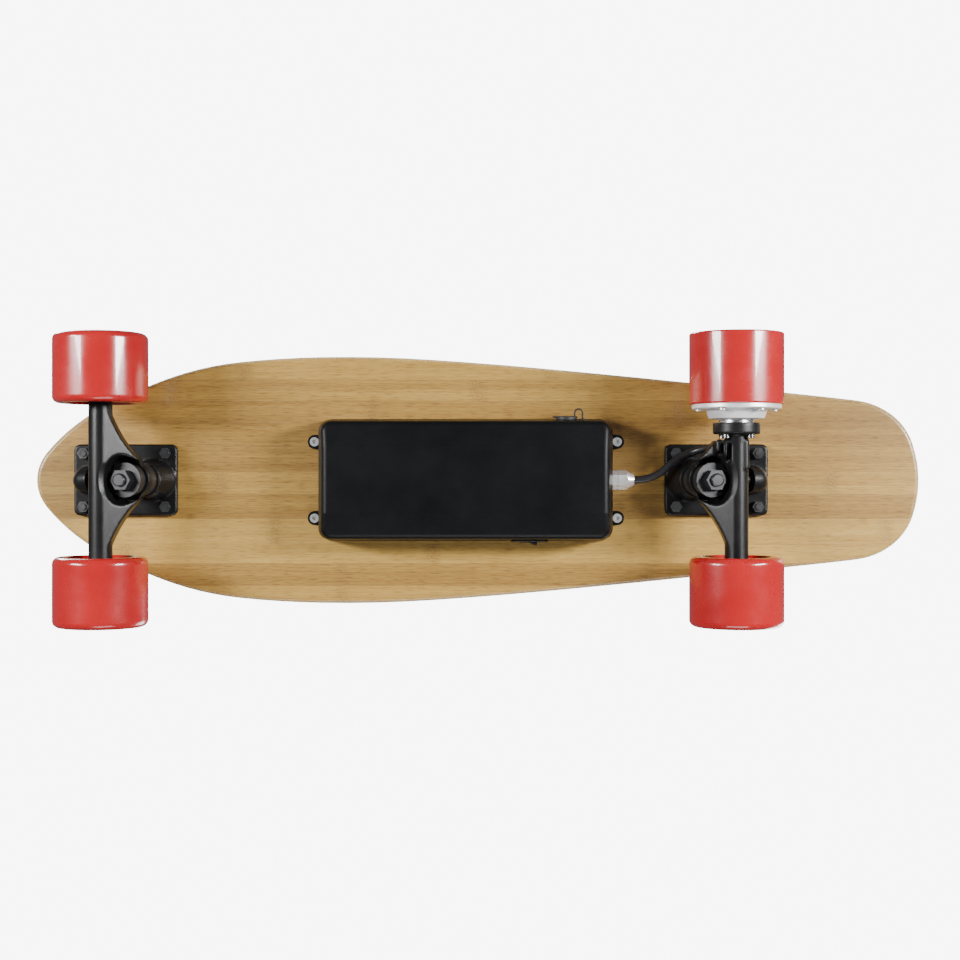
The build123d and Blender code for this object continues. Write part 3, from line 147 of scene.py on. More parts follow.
def blend_colours(tree, share, first, second):
    """Mixes two colours; each may be an output or a colour."""
    made = add_node(tree, "ShaderNodeMix", data_type="RGBA")
    for socket, value in ((made.inputs[0], share), (made.inputs[6], first), (made.inputs[7], second)):
        if isinstance(value, bpy.types.NodeSocket):
            join(tree, value, socket)
        else:
            socket.default_value = value
    return made.outputs[2]


def texture_over(tree, kind, sockets, squeeze=None):
    """A texture laid over the object's own coordinates, which may be squeezed along each axis."""
    made = add_node(tree, kind, sockets)
    where = add_node(tree, "ShaderNodeTexCoord").outputs["Object"]
    if squeeze:
        mapping = add_node(tree, "ShaderNodeMapping", {"Scale": squeeze})
        join(tree, where, mapping.inputs["Vector"])
        where = mapping.outputs[0]
    join(tree, where, made.inputs["Vector"])
    return made


def fine_grain(tree, grains, blotches, stretch=1.0):
    """The shared fine texture, with so many grains and blotches to the metre."""
    sockets = {"Grains per metre": grains, "Blotches per metre": blotches, "Stretch": stretch}
    return add_node(tree, "ShaderNodeGroup", sockets, node_tree=fine_texture)


def emboss(tree, shader, height, strength, distance):
    """Raises a surface by a texture's value."""
    made = add_node(tree, "ShaderNodeBump", {"Strength": strength, "Distance": distance})
    join(tree, height, made.inputs["Height"])
    join(tree, made.outputs[0], shader.inputs["Normal"])


def mottle(tree, shader, colours, roughness, grains, blotches, relief, stretch=1.0):
    """Blotchy colour and roughness over a fine grain; relief is the grain's strength and distance."""
    texture = fine_grain(tree, grains, blotches, stretch)
    join(tree, blend_colours(tree, texture.outputs["Blotch"], *colours), shader.inputs["Base Color"])
    join(tree, remap(tree, texture.outputs["Blotch"], 0.3, 0.7, *roughness), shader.inputs["Roughness"])
    emboss(tree, shader, texture.outputs["Grain"], *relief)


def paint(name, material):
    """Gives one of the solids its finish."""
    mesh = nodes[name].data
    mesh.materials.clear()
    mesh.materials.append(material)


# ------------------------------------------------------------------ studio
# A pale matt floor under the wheels, white surroundings, and large soft lamps: three low ones round the
# underside, and two over the top. The floor shows only from above and shades nothing.
floor_reach = 40.0
floor_corners = [(x * floor_reach, y * floor_reach, 0) for x, y in ((-1, -1), (1, -1), (1, 1), (-1, 1))]
floor_mesh = bpy.data.meshes.new("floor")
floor_mesh.from_pydata(floor_corners, [], [(0, 1, 2, 3)])
floor = bpy.data.objects.new("floor", floor_mesh)
bpy.context.scene.collection.objects.link(floor)
floor_paint, tree, shader = fresh_material(
    "floor_paint",
    Base_Color=(0.82, 0.82, 0.82, 1),
    Roughness=0.9,
    Emission_Color=(1, 1, 1, 1),
    Emission_Strength=0.9,
)
clear = add_node(tree, "ShaderNodeBsdfTransparent")
mixed = add_node(tree, "ShaderNodeMixShader")
side = add_node(tree, "ShaderNodeNewGeometry")
join(tree, side.outputs["Backfacing"], mixed.inputs[0])
join(tree, shader.outputs[0], mixed.inputs[1])
join(tree, clear.outputs[0], mixed.inputs[2])
join(tree, mixed.outputs[0], tree.nodes["Material Output"].inputs["Surface"])
floor_mesh.materials.append(floor_paint)
for ray in ("shadow", "diffuse", "glossy", "transmission"):
    setattr(floor, f"visible_{ray}", False)

world = bpy.data.worlds.new("surroundings")
bpy.context.scene.world = world
world.use_nodes = True
tree = world.node_tree
backdrop = tree.nodes["Background"]
backdrop.inputs["Color"].default_value = (1, 1, 1, 1)
backdrop.inputs["Strength"].default_value = 8.0
ambient = add_node(tree, "ShaderNodeBackground", {"Color": (0.93, 0.96, 1, 1), "Strength": 0.17})
path = add_node(tree, "ShaderNodeLightPath")
choice = add_node(tree, "ShaderNodeMixShader")
join(tree, path.outputs["Is Camera Ray"], choice.inputs[0])
join(tree, ambient.outputs[0], choice.inputs[1])
join(tree, backdrop.outputs[0], choice.inputs[2])
join(tree, choice.outputs[0], tree.nodes["World Output"].inputs["Surface"])


lamp_target = Vector((0, 0, 0.08))


def soft_lamp(name, place, width, depth, watts):
    """A rectangular soft lamp aimed at the middle of the board."""
    data = bpy.data.lights.new(name, "AREA")
    data.shape = "RECTANGLE"
    data.size = width
    data.size_y = depth
    data.energy = watts
    lamp = bpy.data.objects.new(name, data)
    bpy.context.scene.collection.objects.link(lamp)
    lamp.location = place
    lamp.rotation_euler = (lamp_target - Vector(place)).to_track_quat("-Z", "Y").to_euler()
    lamp.visible_camera = False


soft_lamp("low_left", (-1.15, -0.3, -0.8), 0.2, 0.6, 27)
soft_lamp("low_right", (1.15, -0.3, -0.8), 0.2, 0.6, 38)
soft_lamp("low_side", (0.1, 1.25, -0.7), 1.0, 0.5, 9)
soft_lamp("high_left", (-1.1, -1.2, 1.7), 0.9, 0.9, 46)
soft_lamp("high_right", (1.3, 1.0, 1.6), 1.1, 1.1, 34)


# ------------------------------------------------------------------ deck
# A flat board of bamboo: strips about 18 mm wide set on edge and glued side by side, lengthwise, with
# crosswise layers between the faces. Its edges are rounded with a router and it has a clear satin lacquer.
strips_per_metre = 56.0
joints_per_metre = 4.2
layers_per_metre = 400.0
bamboo, tree, shader = fresh_material("lacquered_bamboo", Coat_Weight=0.35, Coat_Roughness=0.22)
place = add_node(tree, "ShaderNodeTexCoord")
axes = add_node(tree, "ShaderNodeSeparateXYZ")
join(tree, place.outputs["Object"], axes.inputs[0])
strip_line = calculate(tree, "MULTIPLY", axes.outputs["Y"], strips_per_metre)
strip = add_node(tree, "ShaderNodeTexVoronoi", {"Scale": 1.0, "Randomness": 0.35}, voronoi_dimensions="1D")
join(tree, strip_line, strip.inputs["W"])
strip_tone = add_node(tree, "ShaderNodeSeparateColor")
join(tree, strip.outputs["Color"], strip_tone.inputs[0])
seam = add_node(
    tree,
    "ShaderNodeTexVoronoi",
    {"Scale": 1.0, "Randomness": 0.35},
    voronoi_dimensions="1D",
    feature="DISTANCE_TO_EDGE",
)
join(tree, strip_line, seam.inputs["W"])
fibre_look = {"Scale": 1.0, "Detail": 5.0, "Roughness": 0.65}
fibre = texture_over(tree, "ShaderNodeTexNoise", fibre_look, (16.0, 900.0, 900.0))
streak = texture_over(tree, "ShaderNodeTexNoise", {"Scale": 1.0, "Detail": 3.0}, (2.0, 130.0, 130.0))
pores = texture_over(tree, "ShaderNodeTexNoise", {"Scale": 1.0, "Detail": 2.0}, (105.0, 1300.0, 1300.0))
tone = calculate(tree, "MULTIPLY", strip_tone.outputs["Red"], 0.34)
tone = calculate(tree, "ADD", tone, calculate(tree, "MULTIPLY", fibre.outputs[0], 0.6))
tone = calculate(tree, "ADD", tone, calculate(tree, "MULTIPLY", streak.outputs[0], 0.5))
tone = calculate(tree, "SUBTRACT", tone, 0.22)
tone = calculate(tree, "SUBTRACT", tone, remap(tree, pores.outputs[0], 0.5, 0.7, 0.0, 0.26))
wood_ramp = add_node(tree, "ShaderNodeValToRGB")
wood_ramp.color_ramp.elements[0].position = 0.08
wood_ramp.color_ramp.elements[0].color = (0.21, 0.105, 0.022, 1)
wood_ramp.color_ramp.elements[1].position = 0.86
wood_ramp.color_ramp.elements[1].color = (0.62, 0.395, 0.095, 1)
middle = wood_ramp.color_ramp.elements.new(0.45)
middle.color = (0.40, 0.232, 0.048, 1)
join(tree, tone, wood_ramp.inputs[0])
# The old joints of the bamboo stalk cross each strip as a short speckled bar, about every 24 cm.
stalk = calculate(tree, "MULTIPLY", axes.outputs["X"], joints_per_metre)
stalk = calculate(tree, "ADD", stalk, calculate(tree, "MULTIPLY", strip_tone.outputs["Green"], 9.0))
stalk = calculate(tree, "ABSOLUTE", calculate(tree, "SUBTRACT", calculate(tree, "FRACT", stalk, 0.0), 0.5))
bar = remap(tree, stalk, 0.008, 0.034, 1.0, 0.0)
speck = texture_over(tree, "ShaderNodeTexNoise", {"Scale": 900.0, "Detail": 2.0})
bar = calculate(tree, "MULTIPLY", bar, remap(tree, speck.outputs[0], 0.42, 0.62, 0.0, 0.5))
wood = blend_colours(tree, bar, wood_ramp.outputs[0], (0.16, 0.075, 0.03, 1))
seam_share = remap(tree, seam.outputs["Distance"], 0.0, 0.025, 0.35, 0.0)
wood = blend_colours(tree, seam_share, wood, (0.17, 0.09, 0.04, 1))
# The router cuts through the layers, which are paler on the edge.
lie = add_node(tree, "ShaderNodeNewGeometry")
lie_axes = add_node(tree, "ShaderNodeSeparateXYZ")
join(tree, lie.outputs["Normal"], lie_axes.inputs[0])
edge_share = remap(tree, calculate(tree, "ABSOLUTE", lie_axes.outputs["Z"], 0.0), 0.55, 0.97, 0.85, 0.0)
layer = calculate(tree, "FRACT", calculate(tree, "MULTIPLY", axes.outputs["Z"], layers_per_metre), 0.0)
layer_tone = remap(tree, layer, 0.0, 0.16, 0.45, 0.0)
edge_wood = blend_colours(tree, layer_tone, (0.66, 0.48, 0.26, 1), (0.30, 0.17, 0.08, 1))
wood = blend_colours(tree, edge_share, wood, edge_wood)
join(tree, wood, shader.inputs["Base Color"])
join(tree, remap(tree, fibre.outputs[0], 0.3, 0.7, 0.32, 0.5), shader.inputs["Roughness"])
emboss(tree, shader, fibre.outputs[0], 0.25, 0.0002)
paint("deck", bamboo)


# ------------------------------------------------------------------ grip sheet
# A sheet of black abrasive, glued on and trimmed just inside the deck's edge. Its grit is silicon carbide:
# most grains are dull, strewn grains catch the light as tiny specks, and a few cells carry painted glints.
grit, tree, shader = fresh_material("abrasive_sheet", Specular_IOR_Level=0.35)
grain = texture_over(tree, "ShaderNodeTexVoronoi", {"Scale": 1150.0})
grain_tone = add_node(tree, "ShaderNodeSeparateColor")
join(tree, grain.outputs["Color"], grain_tone.inputs[0])
cloud = texture_over(tree, "ShaderNodeTexNoise", {"Scale": 24.0, "Detail": 5.0})
grit_colour = blend_colours(tree, cloud.outputs[0], (0.022, 0.0235, 0.027, 1), (0.038, 0.0395, 0.044, 1))
grey_share = remap(tree, grain_tone.outputs["Red"], 0.45, 1.0, 0.0, 0.85)
grit_colour = blend_colours(tree, grey_share, grit_colour, (0.105, 0.102, 0.1, 1))
# Painted glints: a few grain cells are painted pale, standing in for grit that catches the light.
painted_sparkle_share = remap(tree, grain_tone.outputs["Green"], 0.94, 0.99, 0.0, 0.6)
grit_colour = blend_colours(tree, painted_sparkle_share, grit_colour, (0.34, 0.31, 0.27, 1))
join(tree, grit_colour, shader.inputs["Base Color"])
join(tree, remap(tree, grain_tone.outputs["Blue"], 0.0, 1.0, 0.55, 0.95), shader.inputs["Roughness"])
emboss(tree, shader, grain.outputs["Distance"], 0.9, 0.0004)
paint("grip_tape", grit)

glint, tree, shader = fresh_material("bright_grit", Metallic=0.6)
pick = texture_over(tree, "ShaderNodeTexNoise", {"Scale": 700.0, "Detail": 1.0})
glint_colour = blend_colours(tree, pick.outputs[0], (0.08, 0.08, 0.085, 1), (0.5, 0.46, 0.41, 1))
join(tree, glint_colour, shader.inputs["Base Color"])
join(tree, remap(tree, pick.outputs[0], 0.3, 0.7, 0.15, 0.5), shader.inputs["Roughness"])


def scatter_tree(material):
    """Sharp little grains strewn over the faces that look up."""
    made = bpy.data.node_groups.new("strewn_grains", "GeometryNodeTree")
    made.interface.new_socket("Geometry", in_out="INPUT", socket_type="NodeSocketGeometry")
    for name, value in (("Grains per square metre", 60000.0), ("Grain size", 0.0003)):
        socket = made.interface.new_socket(name, in_out="INPUT", socket_type="NodeSocketFloat")
        socket.default_value = value
    made.interface.new_socket("Geometry", in_out="OUTPUT", socket_type="NodeSocketGeometry")
    start = made.nodes.new("NodeGroupInput")
    end = made.nodes.new("NodeGroupOutput")
    lie = add_node(made, "GeometryNodeInputNormal")
    lie_axes = add_node(made, "ShaderNodeSeparateXYZ")
    upward = add_node(made, "FunctionNodeCompare", {"B": 0.9}, operation="GREATER_THAN")
    strew = add_node(made, "GeometryNodeDistributePointsOnFaces", {"Seed": 7})
    cone_shape = {"Vertices": 3, "Radius Top": 0.0, "Radius Bottom": 1.0, "Depth": 1.2}
    cone = add_node(made, "GeometryNodeMeshCone", cone_shape)
    turn = add_node(made, "FunctionNodeRandomValue", data_type="FLOAT_VECTOR")
    turn.inputs["Min"].default_value = (0, 0, 0)
    turn.inputs["Max"].default_value = (0.9, 0.9, 6.28)
    turn.inputs["Seed"].default_value = 3
    size = add_node(made, "FunctionNodeRandomValue", data_type="FLOAT")
    size.inputs[2].default_value = 0.5
    size.inputs[3].default_value = 1.2
    size.inputs["Seed"].default_value = 5
    scale = add_node(made, "ShaderNodeMath", operation="MULTIPLY")
    spread = add_node(made, "GeometryNodeInstanceOnPoints")
    solid = add_node(made, "GeometryNodeRealizeInstances")
    finish = add_node(made, "GeometryNodeSetMaterial")
    finish.inputs["Material"].default_value = material
    join(made, lie.outputs[0], lie_axes.inputs[0])
    join(made, lie_axes.outputs["Z"], upward.inputs["A"])
    join(made, start.outputs["Geometry"], strew.inputs["Mesh"])
    join(made, upward.outputs[0], strew.inputs["Selection"])
    join(made, start.outputs["Grains per square metre"], strew.inputs["Density"])
    join(made, strew.outputs["Points"], spread.inputs["Points"])
    join(made, cone.outputs["Mesh"], spread.inputs["Instance"])
    join(made, turn.outputs["Value"], spread.inputs["Rotation"])
    join(made, size.outputs[1], scale.inputs[0])
    join(made, start.outputs["Grain size"], scale.inputs[1])
    join(made, scale.outputs[0], spread.inputs["Scale"])
    join(made, spread.outputs[0], solid.inputs[0])
    join(made, solid.outputs[0], finish.inputs["Geometry"])
    join(made, finish.outputs[0], end.inputs[0])
    return made


def grown(name, base_mesh, tree, **values):
    """Runs a Geometry Nodes tree on a mesh and returns the result as a plain mesh object."""
    carrier = bpy.data.objects.new(name + "_base", base_mesh)
    bpy.context.scene.collection.objects.link(carrier)
    modifier = carrier.modifiers.new("grow", "NODES")
    modifier.node_group = tree
    for item in tree.interface.items_tree:
        key = item.name.replace(" ", "_")
        if item.item_type == "SOCKET" and item.in_out == "INPUT" and key in values:
            modifier[item.identifier] = values[key]
    bpy.context.view_layer.update()
    result = bpy.data.meshes.new_from_object(carrier.evaluated_get(bpy.context.evaluated_depsgraph_get()))
    bpy.data.objects.remove(carrier)
    made = bpy.data.objects.new(name, result)
    bpy.context.scene.collection.objects.link(made)
    return made


grains = grown(
    "grip_grains",
    nodes["grip_tape"].data.copy(),
    scatter_tree(glint),
    Grains_per_square_metre=90000.0,
    Grain_size=0.00028,
)
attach(grains, "board")


# ------------------------------------------------------------------ truck castings
# The two baseplates and two hangers are aluminium castings with a satin black powder coat. A casting has no
# sharp edges, so each is its solid with the edges and inner corners run together.
def soft_copy(node, name, voxel, passes):
    """A copy of a solid with its edges rounded, as a casting or moulding has them."""
    mesh = nodes[node].data.copy()
    work = bmesh.new()
    work.from_mesh(mesh)
    bmesh.ops.remove_doubles(work, verts=work.verts, dist=1e-6)
    work.to_mesh(mesh)
    work.free()
    carrier = bpy.data.objects.new(name + "_base", mesh)
    bpy.context.scene.collection.objects.link(carrier)
    remesh = carrier.modifiers.new("even", "REMESH")
    remesh.mode = "VOXEL"
    remesh.voxel_size = voxel
    remesh.use_smooth_shade = True
    smooth = carrier.modifiers.new("round", "SMOOTH")
    smooth.factor = 0.5
    smooth.iterations = passes
    bpy.context.view_layer.update()
    result = bpy.data.meshes.new_from_object(carrier.evaluated_get(bpy.context.evaluated_depsgraph_get()))
    bpy.data.objects.remove(carrier)
    made = bpy.data.objects.new(name, result)
    bpy.context.scene.collection.objects.link(made)
    for face in result.polygons:
        face.use_smooth = True
    return made


def dress(piece, material, slot, body, *stands_for):
    """Gives a new piece its finish, the solids it stands for and, where it is rigid, its body. The slot is
    not used.
    """
    piece.data.materials.clear()
    piece.data.materials.append(material)
    if stands_for:
        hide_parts(*stands_for)
    if body:
        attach(piece, body)
    return piece


powder_coat, tree, shader = fresh_material("black_powder_coat", Specular_IOR_Level=0.32)
powder_colours = (0.0035, 0.0035, 0.0038, 1), (0.009, 0.009, 0.0095, 1)
mottle(tree, shader, powder_colours, (0.3, 0.44), 1500.0, 45.0, (0.3, 0.00025))
casting_voxel = 0.0008
for end in ("front", "rear"):
    plate = soft_copy(f"{end}_baseplate", f"{end}_plate_casting", casting_voxel, passes=3)
    dress(plate, powder_coat, "black_casting", "board", f"{end}_baseplate")
    hanger = soft_copy(f"{end}_hanger", f"{end}_hanger_casting", casting_voxel, passes=7)
    dress(hanger, powder_coat, "black_casting", f"{end}_truck", f"{end}_hanger")


# ------------------------------------------------------------------ steel of the trucks
# Kingpins, their nuts and the cup washers are black steel. The deck's and the motor's bolts have a black
# nickel plating, the axle nuts are zinc plated, and the axles and the motor's shaft are bright turned steel.
# Threads are rolled, so they stand up as a fine helix round each end.
def metal(name, dark, light, rough_low, rough_high, metallic=1.0, stretch=1.0, depth=0.12):
    """Bare, plated or blackened metal with fine tool marks and handling blotches."""
    made, tree, shader = fresh_material(name, Metallic=metallic)
    mottle(tree, shader, (dark, light), (rough_low, rough_high), 1800.0, 90.0, (depth, 0.0001), stretch)
    return made


black_steel = metal("blackened_steel", (0.012, 0.012, 0.013, 1), (0.03, 0.03, 0.032, 1), 0.28, 0.45, 0.35)
bright_steel = metal("turned_steel", (0.5, 0.5, 0.51, 1), (0.66, 0.66, 0.67, 1), 0.18, 0.32, stretch=0.2)
zinc = metal("zinc_plate", (0.8, 0.79, 0.77, 1), (0.95, 0.94, 0.92, 1), 0.26, 0.4, 0.75)
black_nickel = metal("black_nickel_plate", (0.2, 0.2, 0.2, 1), (0.42, 0.415, 0.41, 1), 0.16, 0.28)
for name in ("kingpins", "kingpin_nuts", "cup_washers"):
    paint(name, black_steel)
for name in ("mount_bolts", "mount_nuts", "motor_flange_bolts"):
    paint(name, black_nickel)
for name in ("front_axle", "rear_axle", "motor_shaft"):
    paint(name, bright_steel)
for name in ("front_axle_nuts", "rear_axle_nut"):
    paint(name, zinc)


def thread_tree(material):
    """A rolled thread: a fine ridge that climbs round each point's own axis."""
    made = bpy.data.node_groups.new("rolled_thread", "GeometryNodeTree")
    made.interface.new_socket("Geometry", in_out="INPUT", socket_type="NodeSocketGeometry")
    for name, value in (("Radius", 0.0025), ("Length", 0.0015), ("Pitch", 0.0005), ("Ridge", 0.00018)):
        socket = made.interface.new_socket(name, in_out="INPUT", socket_type="NodeSocketFloat")
        socket.default_value = value
    made.interface.new_socket("Geometry", in_out="OUTPUT", socket_type="NodeSocketGeometry")
    start = made.nodes.new("NodeGroupInput")
    end = made.nodes.new("NodeGroupOutput")
    turns = add_node(made, "ShaderNodeMath", operation="DIVIDE")
    helix = add_node(made, "GeometryNodeCurveSpiral", {"Resolution": 20})
    ridge = add_node(made, "GeometryNodeCurvePrimitiveCircle", {"Resolution": 4})
    tube = add_node(made, "GeometryNodeCurveToMesh", {"Fill Caps": True})
    aim = add_node(made, "FunctionNodeAlignEulerToVector", axis="Z")
    points = add_node(made, "GeometryNodeMeshToPoints")
    heading = add_node(made, "GeometryNodeInputNamedAttribute", {"Name": "heading"}, data_type="FLOAT_VECTOR")
    spread = add_node(made, "GeometryNodeInstanceOnPoints")
    solid = add_node(made, "GeometryNodeRealizeInstances")
    finish = add_node(made, "GeometryNodeSetMaterial")
    finish.inputs["Material"].default_value = material
    join(made, start.outputs["Length"], turns.inputs[0])
    join(made, start.outputs["Pitch"], turns.inputs[1])
    join(made, turns.outputs[0], helix.inputs["Rotations"])
    join(made, start.outputs["Radius"], helix.inputs["Start Radius"])
    join(made, start.outputs["Radius"], helix.inputs["End Radius"])
    join(made, start.outputs["Length"], helix.inputs["Height"])
    join(made, start.outputs["Ridge"], ridge.inputs["Radius"])
    join(made, helix.outputs[0], tube.inputs["Curve"])
    join(made, ridge.outputs[0], tube.inputs["Profile Curve"])
    join(made, start.outputs["Geometry"], points.inputs["Mesh"])
    join(made, heading.outputs["Attribute"], aim.inputs["Vector"])
    join(made, points.outputs[0], spread.inputs["Points"])
    join(made, tube.outputs[0], spread.inputs["Instance"])
    join(made, aim.outputs[0], spread.inputs["Rotation"])
    join(made, spread.outputs[0], solid.inputs[0])
    join(made, solid.outputs[0], finish.inputs["Geometry"])
    join(made, finish.outputs[0], end.inputs[0])
    return made


def seeds(name, places, headings):
    """A mesh of loose points, each with the way its thread climbs."""
    mesh = bpy.data.meshes.new(name)
    mesh.from_pydata([tuple(place) for place in places], [], [])
    attribute = mesh.attributes.new("heading", "FLOAT_VECTOR", "POINT")
    for item, heading in zip(attribute.data, headings):
        item.vector = heading
    return mesh


black_thread, bright_thread = thread_tree(black_steel), thread_tree(bright_steel)
plate_inboard = 0.0075  # from the axle to the middle of the four bolts
bolt_half_pitch_x, bolt_half_pitch_y = 0.03175, 0.02065
bolt_thread_drop = 0.0109
bolt_ends = [
    Vector(
        (
            axle_x + inboard * (plate_inboard + i * bolt_half_pitch_x),
            j * bolt_half_pitch_y,
            deck_under - bolt_thread_drop,
        )
    )
    for axle_x, inboard in ((front_x, 1), (rear_x, -1))
    for i in (-1, 1)
    for j in (-1, 1)
]
bolt_threads = grown(
    "bolt_threads",
    seeds("bolt_seeds", bolt_ends, [(0, 0, -1)] * len(bolt_ends)),
    black_thread,
    Radius=0.00245,
    Length=0.0013,
    Pitch=0.0005,
    Ridge=0.00016,
)
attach(bolt_threads, "board")
lean = math.radians(15)
ring_inboard, ring_drop = 0.0208, 0.036  # the hanger ring's centre, from the axle and from the deck
kingpin_lines = []
for axle_x, inboard in ((front_x, 1), (rear_x, -1)):
    ring = Vector((axle_x + inboard * ring_inboard, 0, deck_under - ring_drop))
    kingpin_lines.append((ring, Vector((-inboard * math.sin(lean), 0, -math.cos(lean)))))
pin_thread_start = 0.0225  # from the ring's centre, past the nut
pin_ends = [ring + way * pin_thread_start for ring, way in kingpin_lines]
pin_threads = grown(
    "kingpin_threads",
    seeds("pin_seeds", pin_ends, [way for ring, way in kingpin_lines]),
    black_thread,
    Radius=0.0047,
    Length=0.0019,
    Pitch=0.0009,
    Ridge=0.00026,
)
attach(pin_threads, "board")
axle_thread_start = 0.1027  # from the board's middle
for body, axle_x, sides in (("front_truck", front_x, (-1, 1)), ("rear_truck", rear_x, (1,))):
    axle_ends = [(axle_x, side * axle_thread_start, axle_height) for side in sides]
    axle_threads = grown(
        f"{body}_axle_threads",
        seeds("axle_seeds", axle_ends, [(0, side, 0) for side in sides]),
        bright_thread,
        Radius=0.0039,
        Length=0.0008,
        Pitch=0.0004,
        Ridge=0.00016,
    )
    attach(axle_threads, body)


# ------------------------------------------------------------------ bushings
# Each kingpin carries two moulded urethane bushings, a barrel on the deck's side of the ring and a cone on
# the nut's side. They squash and shear as the truck leans, so each bends between the board and the hanger.
def rubbery(name, colour, rough_low, rough_high, grains, depth=0.2):
    """A soft moulded piece: rubber, urethane or foam."""
    made, tree, shader = fresh_material(name)
    lighter = tuple(min(1.0, channel * 1.6 + 0.004) for channel in colour) + (1,)
    colours = colour + (1,), lighter
    mottle(tree, shader, colours, (rough_low, rough_high), grains, 70.0, (depth, 0.0002))
    return made


def turned(name, profile, foot, way, around=64):
    """A closed round piece: profile is (radius, distance along way) points, in order round its section."""
    made = bpy.data.meshes.new(name)
    aim = Vector(way).to_track_quat("Z", "Y").to_matrix()
    spots = []
    for step in range(around):
        angle = 2 * math.pi * step / around
        spots += [
            tuple(Vector(foot) + aim @ Vector((radius * math.cos(angle), radius * math.sin(angle), along)))
            for radius, along in profile
        ]
    count = len(profile)
    faces = [
        (
            step * count + i,
            (step + 1) % around * count + i,
            (step + 1) % around * count + (i + 1) % count,
            step * count + (i + 1) % count,
        )
        for step in range(around)
        for i in range(count)
    ]
    made.from_pydata(spots, [], faces)
    work = bmesh.new()
    work.from_mesh(made)
    bmesh.ops.recalc_face_normals(work, faces=work.faces)
    work.to_mesh(made)
    work.free()
    for face in made.polygons:
        face.use_smooth = True
    piece = bpy.data.objects.new(name, made)
    bpy.context.scene.collection.objects.link(piece)
    return piece


bushing_rubber = rubbery("bushing_urethane", (0.012, 0.012, 0.013), 0.3, 0.45, 900.0)
for end, (ring, way) in zip(("front", "rear"), kingpin_lines):
    barrel = turned(
        f"{end}_barrel_bushing",
        [
            (0.0049, 0.0), (0.0112, 0.0), (0.0118, 0.0008), (0.0119, 0.003), (0.01215, 0.0064),
            (0.0119, 0.0098), (0.0118, 0.012), (0.0112, 0.0127), (0.0049, 0.0127),
        ],
        ring - way * 0.0165,
        way,
    )
    dress(barrel, bushing_rubber, "bushing", None, f"{end}_bushings")
    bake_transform(barrel)
    cone = turned(
        f"{end}_cone_bushing",
        [
            (0.0049, 0.0), (0.0113, 0.0), (0.0119, 0.0006), (0.0117, 0.003), (0.0107, 0.0072),
            (0.0101, 0.0094), (0.0095, 0.0099), (0.0049, 0.0099),
        ],
        ring + way * 0.0038,
        way,
    )
    dress(cone, bushing_rubber, "bushing", None, f"{end}_bushings")
    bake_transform(cone)
nylon = rubbery("black_nylon", (0.01, 0.01, 0.011), 0.4, 0.55, 1500.0)
paint("pivot_cups", nylon)


# ------------------------------------------------------------------ wheels
# Cast red urethane with a glossy skin, round a black nylon core that holds two ball bearings. The motor's
# wheel has a plain sleeve of the same urethane over its steel can, with nearly square edges.
urethane, tree, shader = fresh_material(
    "red_urethane", Coat_Weight=0.65, Coat_Roughness=0.06, Subsurface_Weight=0.06, Subsurface_Scale=0.004
)
shader.inputs["Subsurface Radius"].default_value = (1.0, 0.2, 0.15)
texture = fine_grain(tree, 500.0, 38.0)
red = blend_colours(tree, texture.outputs["Blotch"], (0.40, 0.008, 0.010, 1), (0.49, 0.014, 0.014, 1))
place = add_node(tree, "ShaderNodeTexCoord")
axes = add_node(tree, "ShaderNodeSeparateXYZ")
join(tree, place.outputs["Object"], axes.inputs[0])
lathe = add_node(tree, "ShaderNodeTexNoise", {"Scale": 1.0, "Detail": 2.0}, noise_dimensions="1D")
join(tree, calculate(tree, "MULTIPLY", axes.outputs["Y"], 1400.0), lathe.inputs["W"])
join(tree, red, shader.inputs["Base Color"])
join(tree, remap(tree, texture.outputs["Blotch"], 0.35, 0.65, 0.2, 0.3), shader.inputs["Roughness"])
emboss(tree, shader, lathe.outputs[0], 0.1, 0.0001)
idle_wheels = ("front_left", "front_right", "rear_right")
bearing_steel = metal("bearing_steel", (0.42, 0.42, 0.43, 1), (0.6, 0.6, 0.61, 1), 0.12, 0.25)
for wheel in idle_wheels:
    paint(f"{wheel}_tyre", urethane)
    paint(f"{wheel}_wheel_core", nylon)
    paint(f"{wheel}_bearings", bearing_steel)
paint("motor_tyre", urethane)
for name in ("front_bearing_inner_rings", "rear_bearing_inner_rings", "motor_bearings"):
    paint(name, bearing_steel)


# ------------------------------------------------------------------ hub motor
# The can turns round a wound stator that is bolted to the hanger's flange. Its two covers are turned from
# aluminium, so fine rings run round them, and six small screws hold each.
aluminium, tree, shader = fresh_material("turned_aluminium", Metallic=0.55)
place = add_node(tree, "ShaderNodeTexCoord")
from_axle = {"Location": (-rear_x, 0.0, -axle_height), "Scale": (1.0, 0.0, 1.0)}
centre = add_node(tree, "ShaderNodeMapping", from_axle)
join(tree, place.outputs["Object"], centre.inputs["Vector"])
reach = add_node(tree, "ShaderNodeVectorMath", operation="LENGTH")
join(tree, centre.outputs[0], reach.inputs[0])
rings = add_node(tree, "ShaderNodeTexNoise", {"Scale": 1.0, "Detail": 3.0}, noise_dimensions="1D")
join(tree, calculate(tree, "MULTIPLY", reach.outputs["Value"], 3500.0), rings.inputs["W"])
texture = fine_grain(tree, 2500.0, 120.0)
turned_colour = blend_colours(tree, rings.outputs[0], (0.86, 0.86, 0.85, 1), (0.98, 0.98, 0.97, 1))
join(tree, turned_colour, shader.inputs["Base Color"])
join(tree, remap(tree, texture.outputs["Blotch"], 0.3, 0.7, 0.34, 0.48), shader.inputs["Roughness"])
emboss(tree, shader, rings.outputs[0], 0.2, 0.00012)
paint("motor_inner_cover", aluminium)
paint("motor_outer_cover", aluminium)
stainless = metal("stainless_steel", (0.75, 0.75, 0.74, 1), (0.92, 0.92, 0.91, 1), 0.26, 0.4, 0.75)
paint("motor_cover_screws", stainless)
lamination = metal(
    "stacked_steel", (0.12, 0.12, 0.125, 1), (0.26, 0.26, 0.27, 1), 0.4, 0.55, stretch=0.1, depth=0.3
)
